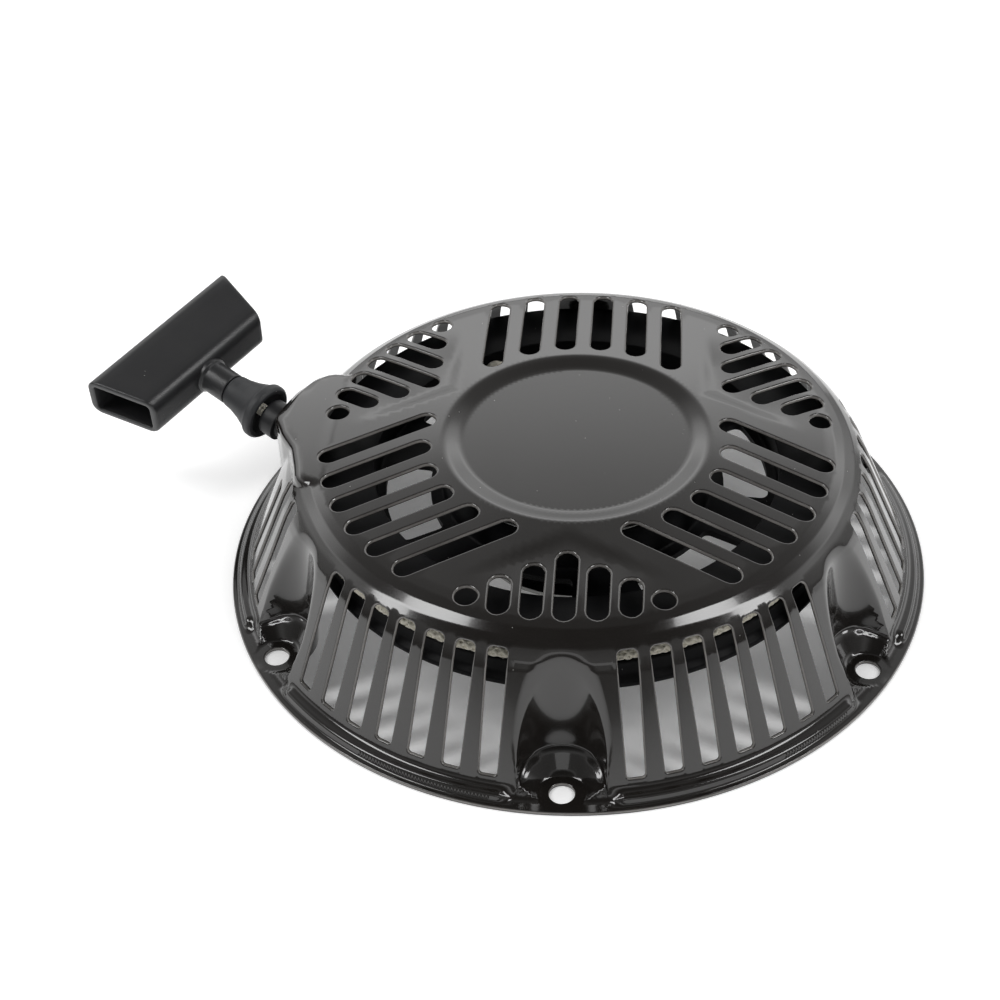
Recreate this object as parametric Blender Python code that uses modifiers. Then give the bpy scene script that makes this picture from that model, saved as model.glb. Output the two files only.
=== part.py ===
"""Recoil starter: pressed steel cover, rope reel, recoil spring, pawls and T-grip.

Row frame: origin at the centre of the mounting flange on its underside, +Z up
through the cover, -X towards the side where the rope comes out.
All driving dimensions are in millimetres, and MM turns them into metres.
"""
import math

import bmesh
import bpy
from mathutils import Matrix, Vector

MM = 0.001
WELD = 0.00001           # merge distance, metres
GAP = 0.3                # space kept between pieces that touch

# Cover
SHEET = 1.2
FLANGE_R = 128.0
TURN_STEPS = 60
BOLT_COUNT = 6
BOLT_CIRCLE_R = 119.5
BOLT_FIRST_AZIMUTH = -90.0
BOLT_HOLE_R = 4.2
BOLT_PAD_R = 7.8
TOP_SLOT_HALF_WIDTH = 3.65
SKIRT_SLOT_COUNT = 7     # in each stretch between two bolts
SKIRT_SLOT_PITCH = 6.12  # degrees
SKIRT_SLOT_BOTTOM = 7.3
SKIRT_SLOT_TOP = 46.6
SHORT_SLOT_AZIMUTH = 186.12  # the slot beside the lobe
SHORT_SLOT_TOP = 38.0
LOBE_FIRST_AZIMUTH = 150.0   # no full slots from here
LOBE_LAST_AZIMUTH = 188.0    # to here
LOBE_TOP = 52.3
LOBE_BOTTOM = 20.0
LOBE_ROUNDING = 2.4
LOBE_OUTLINE = [(-84, 38), (-93.5, 40.2), (-100, 36.2), (-105.3, 28.6), (-111.4, 13.8),
                (-107.2, 3.7), (-102.4, -4.7), (-99.9, -14.5), (-97.8, -24.8), (-85, -30)]

# Centre post and reel
POST_R = 8.0
ARBOR_R = 12.5
POST_BOTTOM = 7.5
REEL_BORE_R = 10.3
REEL_HUB_BOTTOM = 22.0
REEL_WEB_BOTTOM = 32.4
HUB_R = 15.5
HUB_DISC_R = 38.0
REEL_WINDOW_COUNT = 6
REEL_WINDOW_FIRST = 12.0     # azimuth of the first window's middle, degrees
SPRING_CUP_R = 45.0
SPRING_FLOOR = 35.5
SPRING_CUP_TOP = 49.5
SPRING_HOOK_AZIMUTH = 100.0
SPRING_HOOK_R = 41.0
SPRING_TURNS = 6.4
SPRING_INNER_R = 14.2
SPRING_OUTER_R = 41.5

# Rope
ROPE_R = 2.4
ROPE_Z = 40.0
ROPE_OUTER_TURN_R = 92.0
ROPE_PITCH = 5.05
ROPE_TURNS = 2.72

# Rope outlet and pull direction
OUTLET = Vector((-113.9, 24.5, 42.0))
PULL_AZIMUTH = 146.4
PULL_ELEVATION = 11.2
GRIP_ROLL = -9.3

# Pawls and friction plate
PAWL_PIVOT_R = 30.0
PAWL_STUD = (-2.0, -11.0)    # from the pivot, pawl at rest
PAWL_SWING = 30.0
PLATE_TURN = 25.0
PAWL_BOTTOM = 15.0
PAWL_TOP = 20.0
PAWL_PATH = [(0, 0), (-2.0, -12), (-6, -24)]
PAWL_HALF_WIDTH = 4.4
PLATE_BOTTOM = 12.6
PLATE_TOP = 14.2

# Grip
GRIP_NEAR = 32.2             # distances along the pull direction from the outlet
GRIP_FAR = 59.9
GRIP_NEAR_HALF = 28.5
GRIP_FAR_HALF = 35.75
GRIP_HALF_HEIGHT = 8.85
GRIP_WALL = 2.5
GRIP_KNOT = 42.4
NECK_START = 20.9
NECK_R = 6.1


# ---------------------------------------------------------------- helpers

def clear_scene():
    for item in list(bpy.data.objects):
        bpy.data.objects.remove(item, do_unlink=True)


def make_collection(name):
    collection = bpy.data.collections.new(name)
    bpy.context.scene.collection.children.link(collection)
    return collection


def make_material(name, color, roughness, metallic=0.0):
    material = bpy.data.materials.new(name)
    material.use_nodes = True
    shader = material.node_tree.nodes["Principled BSDF"]
    shader.inputs["Base Color"].default_value = (*color, 1.0)
    shader.inputs["Roughness"].default_value = roughness
    shader.inputs["Metallic"].default_value = metallic
    material.diffuse_color = (*color, 1.0)
    return material


def polar(radius, azimuth):
    angle = math.radians(azimuth)
    return radius * math.cos(angle), radius * math.sin(angle)


def link(name, data, collection, material=None, parent=None):
    """Put new data into the scene as an object."""
    made = bpy.data.objects.new(name, data)
    collection.objects.link(made)
    if material:
        data.materials.append(material)
    made.parent = parent
    return made


def as_cutter(item):
    item.hide_render = True
    item.display_type = "WIRE"
    return item


def turned(name, profile, collection, material=None, parent=None, steps=48, along_pull=False):
    """Turn a profile of (radius, height) points round its axis.

    A closed profile comes back to its first point; an open one starts and
    ends on the axis. It runs down the outer side.
    """
    mesh = bpy.data.meshes.new(name)
    points = [(radius * MM, 0, height * MM) for radius, height in profile]
    edges = [(i, i + 1) for i in range(len(points) - 1)]
    on_axis = profile[0][0] == 0 and profile[-1][0] == 0
    if not on_axis:
        edges.append((len(points) - 1, 0))
    mesh.from_pydata(points, edges, [])
    made = link(name, mesh, collection, material, parent)
    screw = made.modifiers.new("Turn", "SCREW")
    screw.steps = screw.render_steps = steps
    screw.use_merge_vertices = True
    screw.merge_threshold = WELD
    screw.use_smooth_shade = False
    if along_pull:
        made.rotation_euler = (0, math.radians(90), 0)
    return made


def joined(name, outer, cutter, operation):
    modifier = outer.modifiers.new(name, "BOOLEAN")
    modifier.operation = operation
    modifier.solver = "EXACT"
    modifier.object = cutter


def stroke(path, half_width, round_steps=4):
    """Outline of a path drawn with a round-ended pen."""
    count = len(path)
    left, right = [], []
    directions = []
    for i in range(count):
        before, after = path[max(i - 1, 0)], path[min(i + 1, count - 1)]
        length = math.dist(before, after)
        directions.append(((after[0] - before[0]) / length, (after[1] - before[1]) / length))
    for (x, y), (dx, dy) in zip(path, directions):
        left.append((x - dy * half_width, y + dx * half_width))
        right.append((x + dy * half_width, y - dx * half_width))
    return left + cap(path[-1], directions[-1], half_width, round_steps, 1) \
        + right[::-1] + cap(path[0], directions[0], half_width, round_steps, -1)


def cap(centre, direction, half_width, round_steps, sign):
    """The half circle that closes one end of a stroke."""
    start = math.atan2(direction[1], direction[0]) + (math.pi / 2 if sign > 0 else -math.pi / 2)
    points = []
    for step in range(1, round_steps):
        angle = start - math.pi * step / round_steps
        points.append((centre[0] + half_width * math.cos(angle),
                       centre[1] + half_width * math.sin(angle)))
    return points


def circle(radius, steps=24, centre=(0, 0)):
    return [(centre[0] + radius * math.cos(2 * math.pi * i / steps),
             centre[1] + radius * math.sin(2 * math.pi * i / steps)) for i in range(steps)]


def sector(inner_r, outer_r, first, last, steps=6):
    """Outline of a ring's sector between two azimuths."""
    azimuths = [first + (last - first) * i / steps for i in range(steps + 1)]
    return [polar(outer_r, a) for a in azimuths] + [polar(inner_r, a) for a in azimuths[::-1]]


def flat(name, outlines, bottom, top, collection, material=None, parent=None):
    """Plate of one or more flat outlines; an outline inside another is a hole."""
    curve = bpy.data.curves.new(name, "CURVE")
    curve.dimensions = "2D"
    curve.fill_mode = "BOTH"
    curve.extrude = (top - bottom) / 2 * MM
    for outline in outlines:
        spline = curve.splines.new("POLY")
        spline.points.add(len(outline) - 1)
        for point, (x, y) in zip(spline.points, outline):
            point.co = (x * MM, y * MM, 0, 1)
        spline.use_cyclic_u = True
    made = link(name, curve, collection, material, parent)
    made.location.z = (top + bottom) / 2 * MM
    return to_mesh(made, collection)


def wire(name, points, radius, collection, material=None, parent=None):
    """Round wire or rope along points given in millimetres."""
    curve = bpy.data.curves.new(name, "CURVE")
    curve.dimensions = "3D"
    curve.bevel_depth = radius * MM
    curve.bevel_resolution = 2
    curve.use_fill_caps = True
    spline = curve.splines.new("POLY")
    spline.points.add(len(points) - 1)
    for point, place in zip(spline.points, points):
        point.co = (*(Vector(place) * MM), 1)
    made = link(name, curve, collection, material, parent)
    return to_mesh(made, collection)


def to_mesh(item, collection):
    """Make a curve a welded mesh object in the same place."""
    bpy.context.view_layer.update()
    depsgraph = bpy.context.evaluated_depsgraph_get()
    mesh = bpy.data.meshes.new_from_object(item.evaluated_get(depsgraph))
    work = bmesh.new()
    work.from_mesh(mesh)
    bmesh.ops.remove_doubles(work, verts=work.verts, dist=WELD)
    bmesh.ops.recalc_face_normals(work, faces=work.faces)
    work.to_mesh(mesh)
    work.free()
    name, place, parent = item.name, item.location.copy(), item.parent
    bpy.data.objects.remove(item, do_unlink=True)
    mesh.name = name
    made = bpy.data.objects.new(name, mesh)
    collection.objects.link(made)
    made.location = place
    made.parent = parent
    return made


def round_edges(item, radius, segments, chosen):
    """Round the edges for which chosen(first corner, second corner) is true."""
    work = bmesh.new()
    work.from_mesh(item.data)
    bmesh.ops.dissolve_limit(work, angle_limit=math.radians(1), verts=work.verts, edges=work.edges)
    edges = [edge for edge in work.edges if chosen(edge.verts[0].co, edge.verts[1].co)]
    bmesh.ops.bevel(work, geom=edges, offset=radius * MM, segments=segments, affect="EDGES",
                    profile=0.5, clamp_overlap=False)
    work.to_mesh(item.data)
    work.free()


def copies(name, pattern, places, collection):
    """One mesh object that holds a copy of the pattern at each matrix."""
    bpy.context.view_layer.update()
    depsgraph = bpy.context.evaluated_depsgraph_get()
    single = bpy.data.meshes.new_from_object(pattern.evaluated_get(depsgraph))
    base = pattern.matrix_world.copy()
    work = bmesh.new()
    for place in places:
        part = single.copy()
        part.transform(place @ base)
        work.from_mesh(part)
        bpy.data.meshes.remove(part)
    mesh = bpy.data.meshes.new(name)
    work.to_mesh(mesh)
    work.free()
    bpy.data.objects.remove(pattern, do_unlink=True)
    return link(name, mesh, collection)


def around(count, first=0.0, pitch=None):
    """Rotations about Z for pieces that repeat round the axis."""
    pitch = 360 / count if pitch is None else pitch
    return [Matrix.Rotation(math.radians(first + i * pitch), 4, "Z") for i in range(count)]


# ---------------------------------------------------------------- cover

def cover_profile(inset):
    """Half section of the cover, drawn in by inset from the outer face."""
    low = 0.0 if inset == 0 else -5.0
    recess, top, rim = 54.5 - inset, 56.2 - inset, 53.4 - inset
    profile = [(0, recess), (40.3 + inset / 2, recess), (47.5 + inset / 2, top), (92.0, rim)]
    centre_r, centre_z, bend = 91.6, 42.6, 10.9
    for angle in (70, 48, 26):
        reach = bend - inset
        profile.append((centre_r + 1.1 + reach * math.cos(math.radians(angle)),
                        centre_z + reach * math.sin(math.radians(angle))))
    if inset:
        profile += [(120.9 - inset, 7.0), (123.4 - inset, 0), (123.4 - inset, low), (0, low)]
    else:
        profile += [(120.4, 7.0), (121.8, 4.6), (123.0, 4.0), (124.6, 3.9), (125.6, 1.6),
                    (127.6, SHEET), (FLANGE_R, SHEET - 0.4), (FLANGE_R, 0), (0, 0)]
    return profile


def pocket_profile(grow):
    """Half section of the space over a bolt: pad, sloping seat and tapered wall."""
    floor = SHEET - grow
    return [(0, 70), (19.0 + grow, 70), (17.2 + grow, 50), (14.0 + grow, 9.2 - grow / 2),
            (12.6 + grow / 2, 7.8 - grow / 2), (BOLT_PAD_R + grow / 2, floor),
            (BOLT_PAD_R + grow / 2, floor if grow == 0 else -6), (0, floor if grow == 0 else -6)]


def offset_outline(outline, distance):
    """Move every corner of a clockwise or anticlockwise outline inwards."""
    area = sum(a[0] * b[1] - b[0] * a[1] for a, b in zip(outline, outline[1:] + outline[:1]))
    side = 1 if area > 0 else -1
    moved = []
    for before, here, after in zip(outline[-1:] + outline[:-1], outline, outline[1:] + outline[:1]):
        first = (Vector(here) - Vector(before)).normalized()
        second = (Vector(after) - Vector(here)).normalized()
        inward = Vector((-first.y - second.y, first.x + second.x)) * side
        moved.append(tuple(Vector(here) + inward.normalized() * distance))
    return moved


def cover_form(name, inset, cutters):
    """The cover as a solid block, or the air inside it when inset is the sheet."""
    form = turned(name, cover_profile(inset), cutters, steps=TURN_STEPS)
    lobe = flat(name + "_lobe", [offset_outline(LOBE_OUTLINE, inset)],
                LOBE_BOTTOM - inset, LOBE_TOP - inset, cutters)
    if inset == 0:
        half = (LOBE_TOP - LOBE_BOTTOM) / 2 * MM
        round_edges(lobe, LOBE_ROUNDING, 3, lambda a, b: min(a.z, b.z) > half - WELD)
    joined("Add lobe", form, as_cutter(lobe), "UNION")
    single = turned(name + "_pocket", pocket_profile(inset), cutters, steps=20)
    shift = Matrix.Translation((BOLT_CIRCLE_R * MM, 0, 0))
    places = [turn @ shift for turn in around(BOLT_COUNT, BOLT_FIRST_AZIMUTH)]
    joined("Bolt pockets", form, as_cutter(copies(name + "_pockets", single, places, cutters)),
           "DIFFERENCE")
    return form


def slot_between(axis, along_start, along_end, across):
    """A slot parallel to the axis azimuth, as its two round end centres."""
    turn = Matrix.Rotation(math.radians(axis), 2)
    return [tuple(turn @ Vector((along_start, across))), tuple(turn @ Vector((along_end, across)))]


def top_slots():
    """Slots of the flat top: three wide groups and three triangular ones."""
    half = TOP_SLOT_HALF_WIDTH
    outlines = []
    for axis in (90, 210, 330):
        for across in (-33.25, -19.95, -6.65, 6.65, 19.95, 33.25):
            inner_tip = math.sqrt(52.1 ** 2 - across ** 2)
            outer_tip = math.sqrt(91.2 ** 2 - across ** 2)
            path = slot_between(axis, inner_tip + half, outer_tip - half, across)
            outlines.append(stroke(path, half, 3))
    for axis in (-90, 30, 150):
        for across in (-21.5, -10.75, 0, 10.75, 21.5):
            inner_tip = 60.9 + 0.56 * abs(across)
            outer_tip = math.sqrt(92.4 ** 2 - across ** 2)
            path = slot_between(axis, inner_tip + half, outer_tip - half, across)
            outlines.append(stroke(path, half, 3))
        for side in (-21.4, 21.4):
            outlines.append(circle(3.9, 10, polar(88.2, axis + side)))
    return outlines


def skirt_slot_places():
    """Rotations for the skirt's slots, leaving out those under the rope lobe."""
    places = []
    for sector_middle in range(0, 360, 60):
        for i in range(SKIRT_SLOT_COUNT):
            azimuth = sector_middle + (i - (SKIRT_SLOT_COUNT - 1) / 2) * SKIRT_SLOT_PITCH
            if LOBE_FIRST_AZIMUTH < azimuth < LOBE_LAST_AZIMUTH:
                continue
            places.append(Matrix.Rotation(math.radians(azimuth), 4, "Z"))
    return places


def skirt_slot(cutters, top):
    """One slot: tapered, rounded at the top, nearly square at the bottom."""
    bottom = SKIRT_SLOT_BOTTOM
    outline = [(-3.05, bottom), (3.05, bottom), (3.4, top - 2.6), (2.1, top - 0.3),
               (-2.1, top - 0.3), (-3.4, top - 2.6)]
    slot = flat("skirt_slot", [outline], 100.5, 126, cutters)
    standing = Matrix(((0, 0, 1, 0), (1, 0, 0, 0), (0, 1, 0, 0), (0, 0, 0, 1)))
    slot.matrix_world = standing @ Matrix.Translation((0, 0, slot.location.z))
    return slot


def build_cover(parts, cutters, paint, outlet):
    cover = cover_form("cover", 0.0, cutters)
    cutters.objects.unlink(cover)
    parts.objects.link(cover)
    cover.data.materials.append(paint)
    joined("Hollow", cover, as_cutter(cover_form("cover_air", SHEET, cutters)), "DIFFERENCE")
    slots = flat("top_slots", top_slots(), 45, 60, cutters)
    joined("Top slots", cover, as_cutter(slots), "DIFFERENCE")
    skirt = copies("skirt_slots", skirt_slot(cutters, SKIRT_SLOT_TOP), skirt_slot_places(), cutters)
    joined("Skirt slots", cover, as_cutter(skirt), "DIFFERENCE")
    short = copies("short_slot", skirt_slot(cutters, SHORT_SLOT_TOP),
                   around(1, SHORT_SLOT_AZIMUTH), cutters)
    joined("Short slot", cover, as_cutter(short), "DIFFERENCE")
    holes = [circle(BOLT_HOLE_R, 16, polar(BOLT_CIRCLE_R, BOLT_FIRST_AZIMUTH + 60 * i))
             for i in range(BOLT_COUNT)]
    joined("Bolt holes", cover, as_cutter(flat("bolt_holes", holes, -2, 4, cutters)), "DIFFERENCE")
    exit_hole = turned("rope_hole", [(0, -4), (5.5, -4), (5.5, -13), (0, -13)], cutters,
                       parent=outlet, steps=16, along_pull=True)
    joined("Rope hole", cover, as_cutter(exit_hole), "DIFFERENCE")


def build_rope_guide(parts, material, outlet):
    profile = [(4.6, -11.6), (3.4, -8.5), (3.4, 1.4), (4.1, 2.2), (6.2, 2.2), (6.9, 1.5),
               (6.9, -3.9), (5.2, -4.2), (5.2, -10.1), (6.3, -10.1), (6.3, -11.6)]
    turned("rope_guide", profile, parts, material, outlet, steps=20, along_pull=True)


# ---------------------------------------------------------------- reel group

def build_post(parts, cutters, material):
    flange_top = 54.5 - SHEET - GAP
    profile = [(0, flange_top), (22, flange_top), (22, flange_top - 2.2), (ARBOR_R, flange_top - 2.2),
               (ARBOR_R, 36.6), (POST_R, 36.6), (POST_R, 21.9), (7.0, 21.9), (7.0, 20.2),
               (POST_R, 20.2), (POST_R, POST_BOTTOM), (3.3, POST_BOTTOM), (3.3, 21), (0, 21)]
    post = turned("centre_post", profile, parts, material, steps=24)
    slot = flat("spring_slot", [[(9.4, -1.1), (14, -1.1), (14, 1.1), (9.4, 1.1)]], 36, 50, cutters)
    joined("Spring slot", post, as_cutter(slot), "DIFFERENCE")


def build_reel(parts, cutters, material):
    cup, floor, rim = SPRING_CUP_R, SPRING_FLOOR, SPRING_CUP_TOP
    profile = [(HUB_R + GAP, REEL_WEB_BOTTOM), (HUB_R + GAP, floor), (cup, floor), (cup, rim), (cup + 3, rim),
               (cup + 3, 34.8), (72.5, 34.8), (72.5, 44.9), (96.0, 44.9), (96.0, 42.9), (75, 42.9),
               (75, 37.1), (95.5, 37.1), (95.5, 30.2), (98.2, 28.9), (98.2, 26.2),
               (93.2, 28.5), (93.2, 34.7), (75, 34.7), (73.5, REEL_WEB_BOTTOM)]
    reel = turned("reel", profile, parts, material, steps=48)
    windows = []
    for i in range(REEL_WINDOW_COUNT):
        middle = REEL_WINDOW_FIRST + 360 / REEL_WINDOW_COUNT * i
        windows.append(sector(53, 69, middle - 19, middle + 19, 5))
    joined("Windows", reel, as_cutter(flat("reel_windows", windows, 30, 37, cutters)), "DIFFERENCE")
    holes = [circle(2.2, 12, (side * PAWL_PIVOT_R, 0)) for side in (1, -1)]
    holes.append(circle(2.3, 12, polar(SPRING_HOOK_R, SPRING_HOOK_AZIMUTH)))
    joined("Pin holes", reel, as_cutter(flat("reel_pin_holes", holes, 18, 40, cutters)), "DIFFERENCE")
    start = rope_start_azimuth()
    entry = flat("rope_entry", [sector(71, 76.5, start - 22, start + 12, 6)], 37.2, 42.8, cutters)
    joined("Rope entry", reel, as_cutter(entry), "DIFFERENCE")
    build_reel_hub(parts, cutters, material)


def build_reel_hub(parts, cutters, material):
    """Bearing tube, the disc under the reel's web and the two pawl bosses."""
    disc_top = REEL_WEB_BOTTOM - GAP
    profile = [(REEL_BORE_R, REEL_HUB_BOTTOM), (REEL_BORE_R, 36.2), (HUB_R, 36.2), (HUB_R, disc_top),
               (HUB_DISC_R, disc_top), (HUB_DISC_R, disc_top - 1.9), (HUB_R, disc_top - 1.9),
               (HUB_R, REEL_HUB_BOTTOM)]
    hub = turned("reel_hub", profile, parts, material, steps=36)
    places = [(side * PAWL_PIVOT_R, 0) for side in (1, -1)]
    bosses = flat("pawl_bosses", [circle(6.0, 20, place) for place in places],
                  PAWL_TOP + GAP, disc_top - 1, cutters)
    joined("Pawl bosses", hub, as_cutter(bosses), "UNION")
    holes = flat("boss_holes", [circle(2.2, 12, place) for place in places], 18, 34, cutters)
    joined("Boss holes", hub, as_cutter(holes), "DIFFERENCE")


def build_small_turned(parts, steel, bronze):
    """Bush, keeper, clip, washer and pin pieces on the reel's axis."""
    ring = [(8.3, 22.3), (8.3, 36.1), (10.0, 36.1), (10.0, 22.3)]
    turned("reel_bush", ring, parts, bronze, steps=24)
    keeper = [(14.0, 49.8), (14.0, 50.4), (47.6, 50.4), (47.6, 49.8)]
    turned("spring_keeper", keeper, parts, steel, steps=36)
    clip = flat("retaining_ring", [ring_with_gap(7.3, 12.8, 32)], 20.4, 21.7, parts, steel)
    clip.data.materials.append(steel)
    washer = [(3.4, 5.5), (3.4, 7.2), (13.0, 7.2), (13.0, 5.5)]
    turned("friction_washer", washer, parts, steel, steps=24)
    pin_place = polar(SPRING_HOOK_R, SPRING_HOOK_AZIMUTH)
    pin = flat("spring_hook_pin", [circle(2.0, 12, pin_place)], 32.6, 49.2, parts, steel)
    pin.data.materials.append(steel)


def ring_with_gap(inner_r, outer_r, half_gap):
    """Outline of an open ring whose gap faces +X."""
    return sector(inner_r, outer_r, half_gap, 360 - half_gap, 24)


def build_screw(parts, steel):
    """Hexagon screw that closes the stack from below."""
    head = flat("centre_screw", [circle(7.5, 6)], 1.6, 5.2, parts)
    shank = turned("centre_screw_shank", [(0, 19), (2.9, 19), (2.9, 4), (0, 4)], parts, steps=16)
    joined("Shank", head, shank, "UNION")
    head.data.materials.append(steel)
    return shank


def pawl_turn(point, angle):
    turn = Matrix.Rotation(math.radians(angle), 2)
    return turn @ Vector(point)


def stud_track():
    """Route of a pawl's stud across the friction plate while both turn together."""
    track = []
    for step in range(-1, 8):
        share = step / 6
        place = Vector((PAWL_PIVOT_R, 0)) + pawl_turn(PAWL_STUD, PAWL_SWING * share)
        track.append(tuple(pawl_turn(place, -PLATE_TURN * share)))
    return track


def build_pawls(parts, cutters, steel, spring_steel):
    for name, azimuth in (("a", 0), ("b", 180)):
        pivot = bpy.data.objects.new("pawl_pivot_" + name, None)
        parts.objects.link(pivot)
        pivot.location = Vector((*polar(PAWL_PIVOT_R, azimuth), 0)) * MM
        pivot.rotation_euler = (0, 0, math.radians(azimuth))
        outlines = [stroke(PAWL_PATH, PAWL_HALF_WIDTH, 8), circle(2.2, 12)]
        pawl = flat("pawl_" + name, outlines, PAWL_BOTTOM, PAWL_TOP, parts, parent=pivot)
        pawl.data.materials.append(steel)
        stud = turned("pawl_stud_" + name, [(0, 16), (1.6, 16), (1.6, 12.9), (0, 12.9)], cutters,
                      parent=pivot, steps=12)
        stud.location = Vector((*PAWL_STUD, 0)) * MM
        joined("Stud", pawl, as_cutter(stud), "UNION")
        turned("pawl_pin_" + name, [(0, 35.2), (1.9, 35.2), (1.9, 14.5), (0, 14.5)], parts, steel,
               pivot, steps=12)
        coil = [(*polar(7.2, 90 + 30 * i), 27.6 - 0.25 * i) for i in range(16)]
        leg_in = [(12.0, 7.2, 27.8)]
        leg_out = [(-7.3, -8.0, 23.4), (-8.0, -15.0, 20.9)]
        wire("pawl_spring_" + name, leg_in + coil + leg_out, 0.45, parts, spring_steel, pivot)


def build_friction_plate(parts, steel, spring_steel):
    slots = []
    for azimuth in (0, 180):
        turned_track = [tuple(pawl_turn(point, azimuth)) for point in stud_track()]
        slots.append(stroke(turned_track, 2.5, 6))
    outlines = [circle(39.5, 40), circle(8.6, 24)] + slots
    plate = flat("friction_plate", outlines, PLATE_BOTTOM, PLATE_TOP, parts)
    plate.data.materials.append(steel)
    turns, per_turn, wire_r = 2, 14, 0.75
    low, high = 7.2 + GAP + wire_r, PLATE_BOTTOM - GAP - wire_r
    count = int(turns * per_turn) + 1
    points = [(*polar(10.4, 360 * i / per_turn), low + (high - low) * i / (count - 1))
              for i in range(count)]
    wire("friction_spring", points, wire_r, parts, spring_steel)


def build_recoil_spring(parts, material):
    """Flat spiral from a hook in the post to a hook round the reel's pin."""
    per_turn = 20
    count = int(SPRING_TURNS * per_turn)
    end = SPRING_HOOK_AZIMUTH - 16
    path = [(10.3, 0.0), (13.5, 0.1)]
    for i in range(count + 1):
        share = i / count
        azimuth = 22 + share * (end + 360 * 6 - 22)
        path.append(polar(SPRING_INNER_R + share * (SPRING_OUTER_R - SPRING_INNER_R), azimuth))
    pin = Vector(polar(SPRING_HOOK_R, SPRING_HOOK_AZIMUTH))
    for angle in (-10, 40, 90, 140, 190):
        path.append(tuple(pin + Vector(polar(2.9, SPRING_HOOK_AZIMUTH + angle))))
    spring = flat("recoil_spring", [stroke(path, 0.42, 2)], SPRING_FLOOR + 0.9, 48.9, parts)
    spring.data.materials.append(material)


# ---------------------------------------------------------------- rope

def pull_frame():
    """Position and turn of the outlet: local +X is the pull direction."""
    turn = (Matrix.Rotation(math.radians(PULL_AZIMUTH), 4, "Z")
            @ Matrix.Rotation(math.radians(-PULL_ELEVATION), 4, "Y")
            @ Matrix.Rotation(math.radians(GRIP_ROLL), 4, "X"))
    return Matrix.Translation(OUTLET * MM) @ turn


def pull_direction():
    return (pull_frame().to_3x3() @ Vector((1, 0, 0))).normalized()


def rope_corner():
    """Where the straight run off the reel meets the pull line."""
    return OUTLET - 14.0 * pull_direction()


def rope_leave_azimuth():
    """Azimuth at which the rope leaves its outer turn towards the corner."""
    corner = rope_corner()
    reach = math.hypot(corner.x, corner.y)
    return math.degrees(math.atan2(corner.y, corner.x) + math.acos(ROPE_OUTER_TURN_R / reach))


def rope_start_azimuth():
    """Azimuth at which the rope goes in through the groove's wall."""
    return rope_leave_azimuth() + 360 * ROPE_TURNS + 14


def build_rope(parts, material, outlet):
    leave = rope_leave_azimuth()
    per_turn = 30
    coil = []
    for i in range(1, int(ROPE_TURNS * per_turn) + 1):
        turned_by = 360 * i / per_turn
        radius = ROPE_OUTER_TURN_R - ROPE_PITCH * turned_by / 360
        coil.append((*polar(radius, leave + turned_by), ROPE_Z))
    last = ROPE_OUTER_TURN_R - ROPE_PITCH * ROPE_TURNS
    for step, drop in enumerate((1.0, 3.2, 6.2), start=1):
        coil.append((*polar(last - drop, leave + 360 * ROPE_TURNS + 7 * step - 4), ROPE_Z))
    wire("rope_wound", coil, ROPE_R, parts, material)
    knot_place = Vector((*polar(last - 9.8, rope_start_azimuth() + 8), ROPE_Z)) * MM
    knot = turned("reel_knot_form", knot_profile(3.1, 4.2), parts, steps=16)
    knot = copies("reel_knot", knot, [Matrix.Translation(knot_place)], parts)
    knot.data.materials.append(material)

    corner, pull = rope_corner(), pull_direction()
    tangent = Vector((*polar(ROPE_OUTER_TURN_R, leave + 1.2), ROPE_Z))
    run = (corner - tangent).normalized()
    bend_start, bend_end = corner - 7.0 * run, corner + 7.5 * pull
    lead = [tangent + (bend_start - tangent) * i / 5 for i in range(5)]
    for i in range(7):
        share = i / 6
        lead.append((1 - share) ** 2 * bend_start + 2 * share * (1 - share) * corner
                    + share ** 2 * bend_end)
    lead += [OUTLET + pull * reach for reach in (2.0, 12.0, 24.0, GRIP_KNOT - 4.7)]
    inverse = pull_frame().inverted()
    local = [inverse @ (Vector(point) * MM) / MM for point in lead]
    wire("rope_lead", local, ROPE_R, parts, material, outlet)


def knot_profile(half_length, radius, middle=0.0, steps=6):
    """Half section of a rounded knot."""
    return [(radius * math.sin(math.pi * i / steps) if 0 < i < steps else 0,
             middle + half_length * math.cos(math.pi * i / steps)) for i in range(steps + 1)]


# ---------------------------------------------------------------- grip

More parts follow.
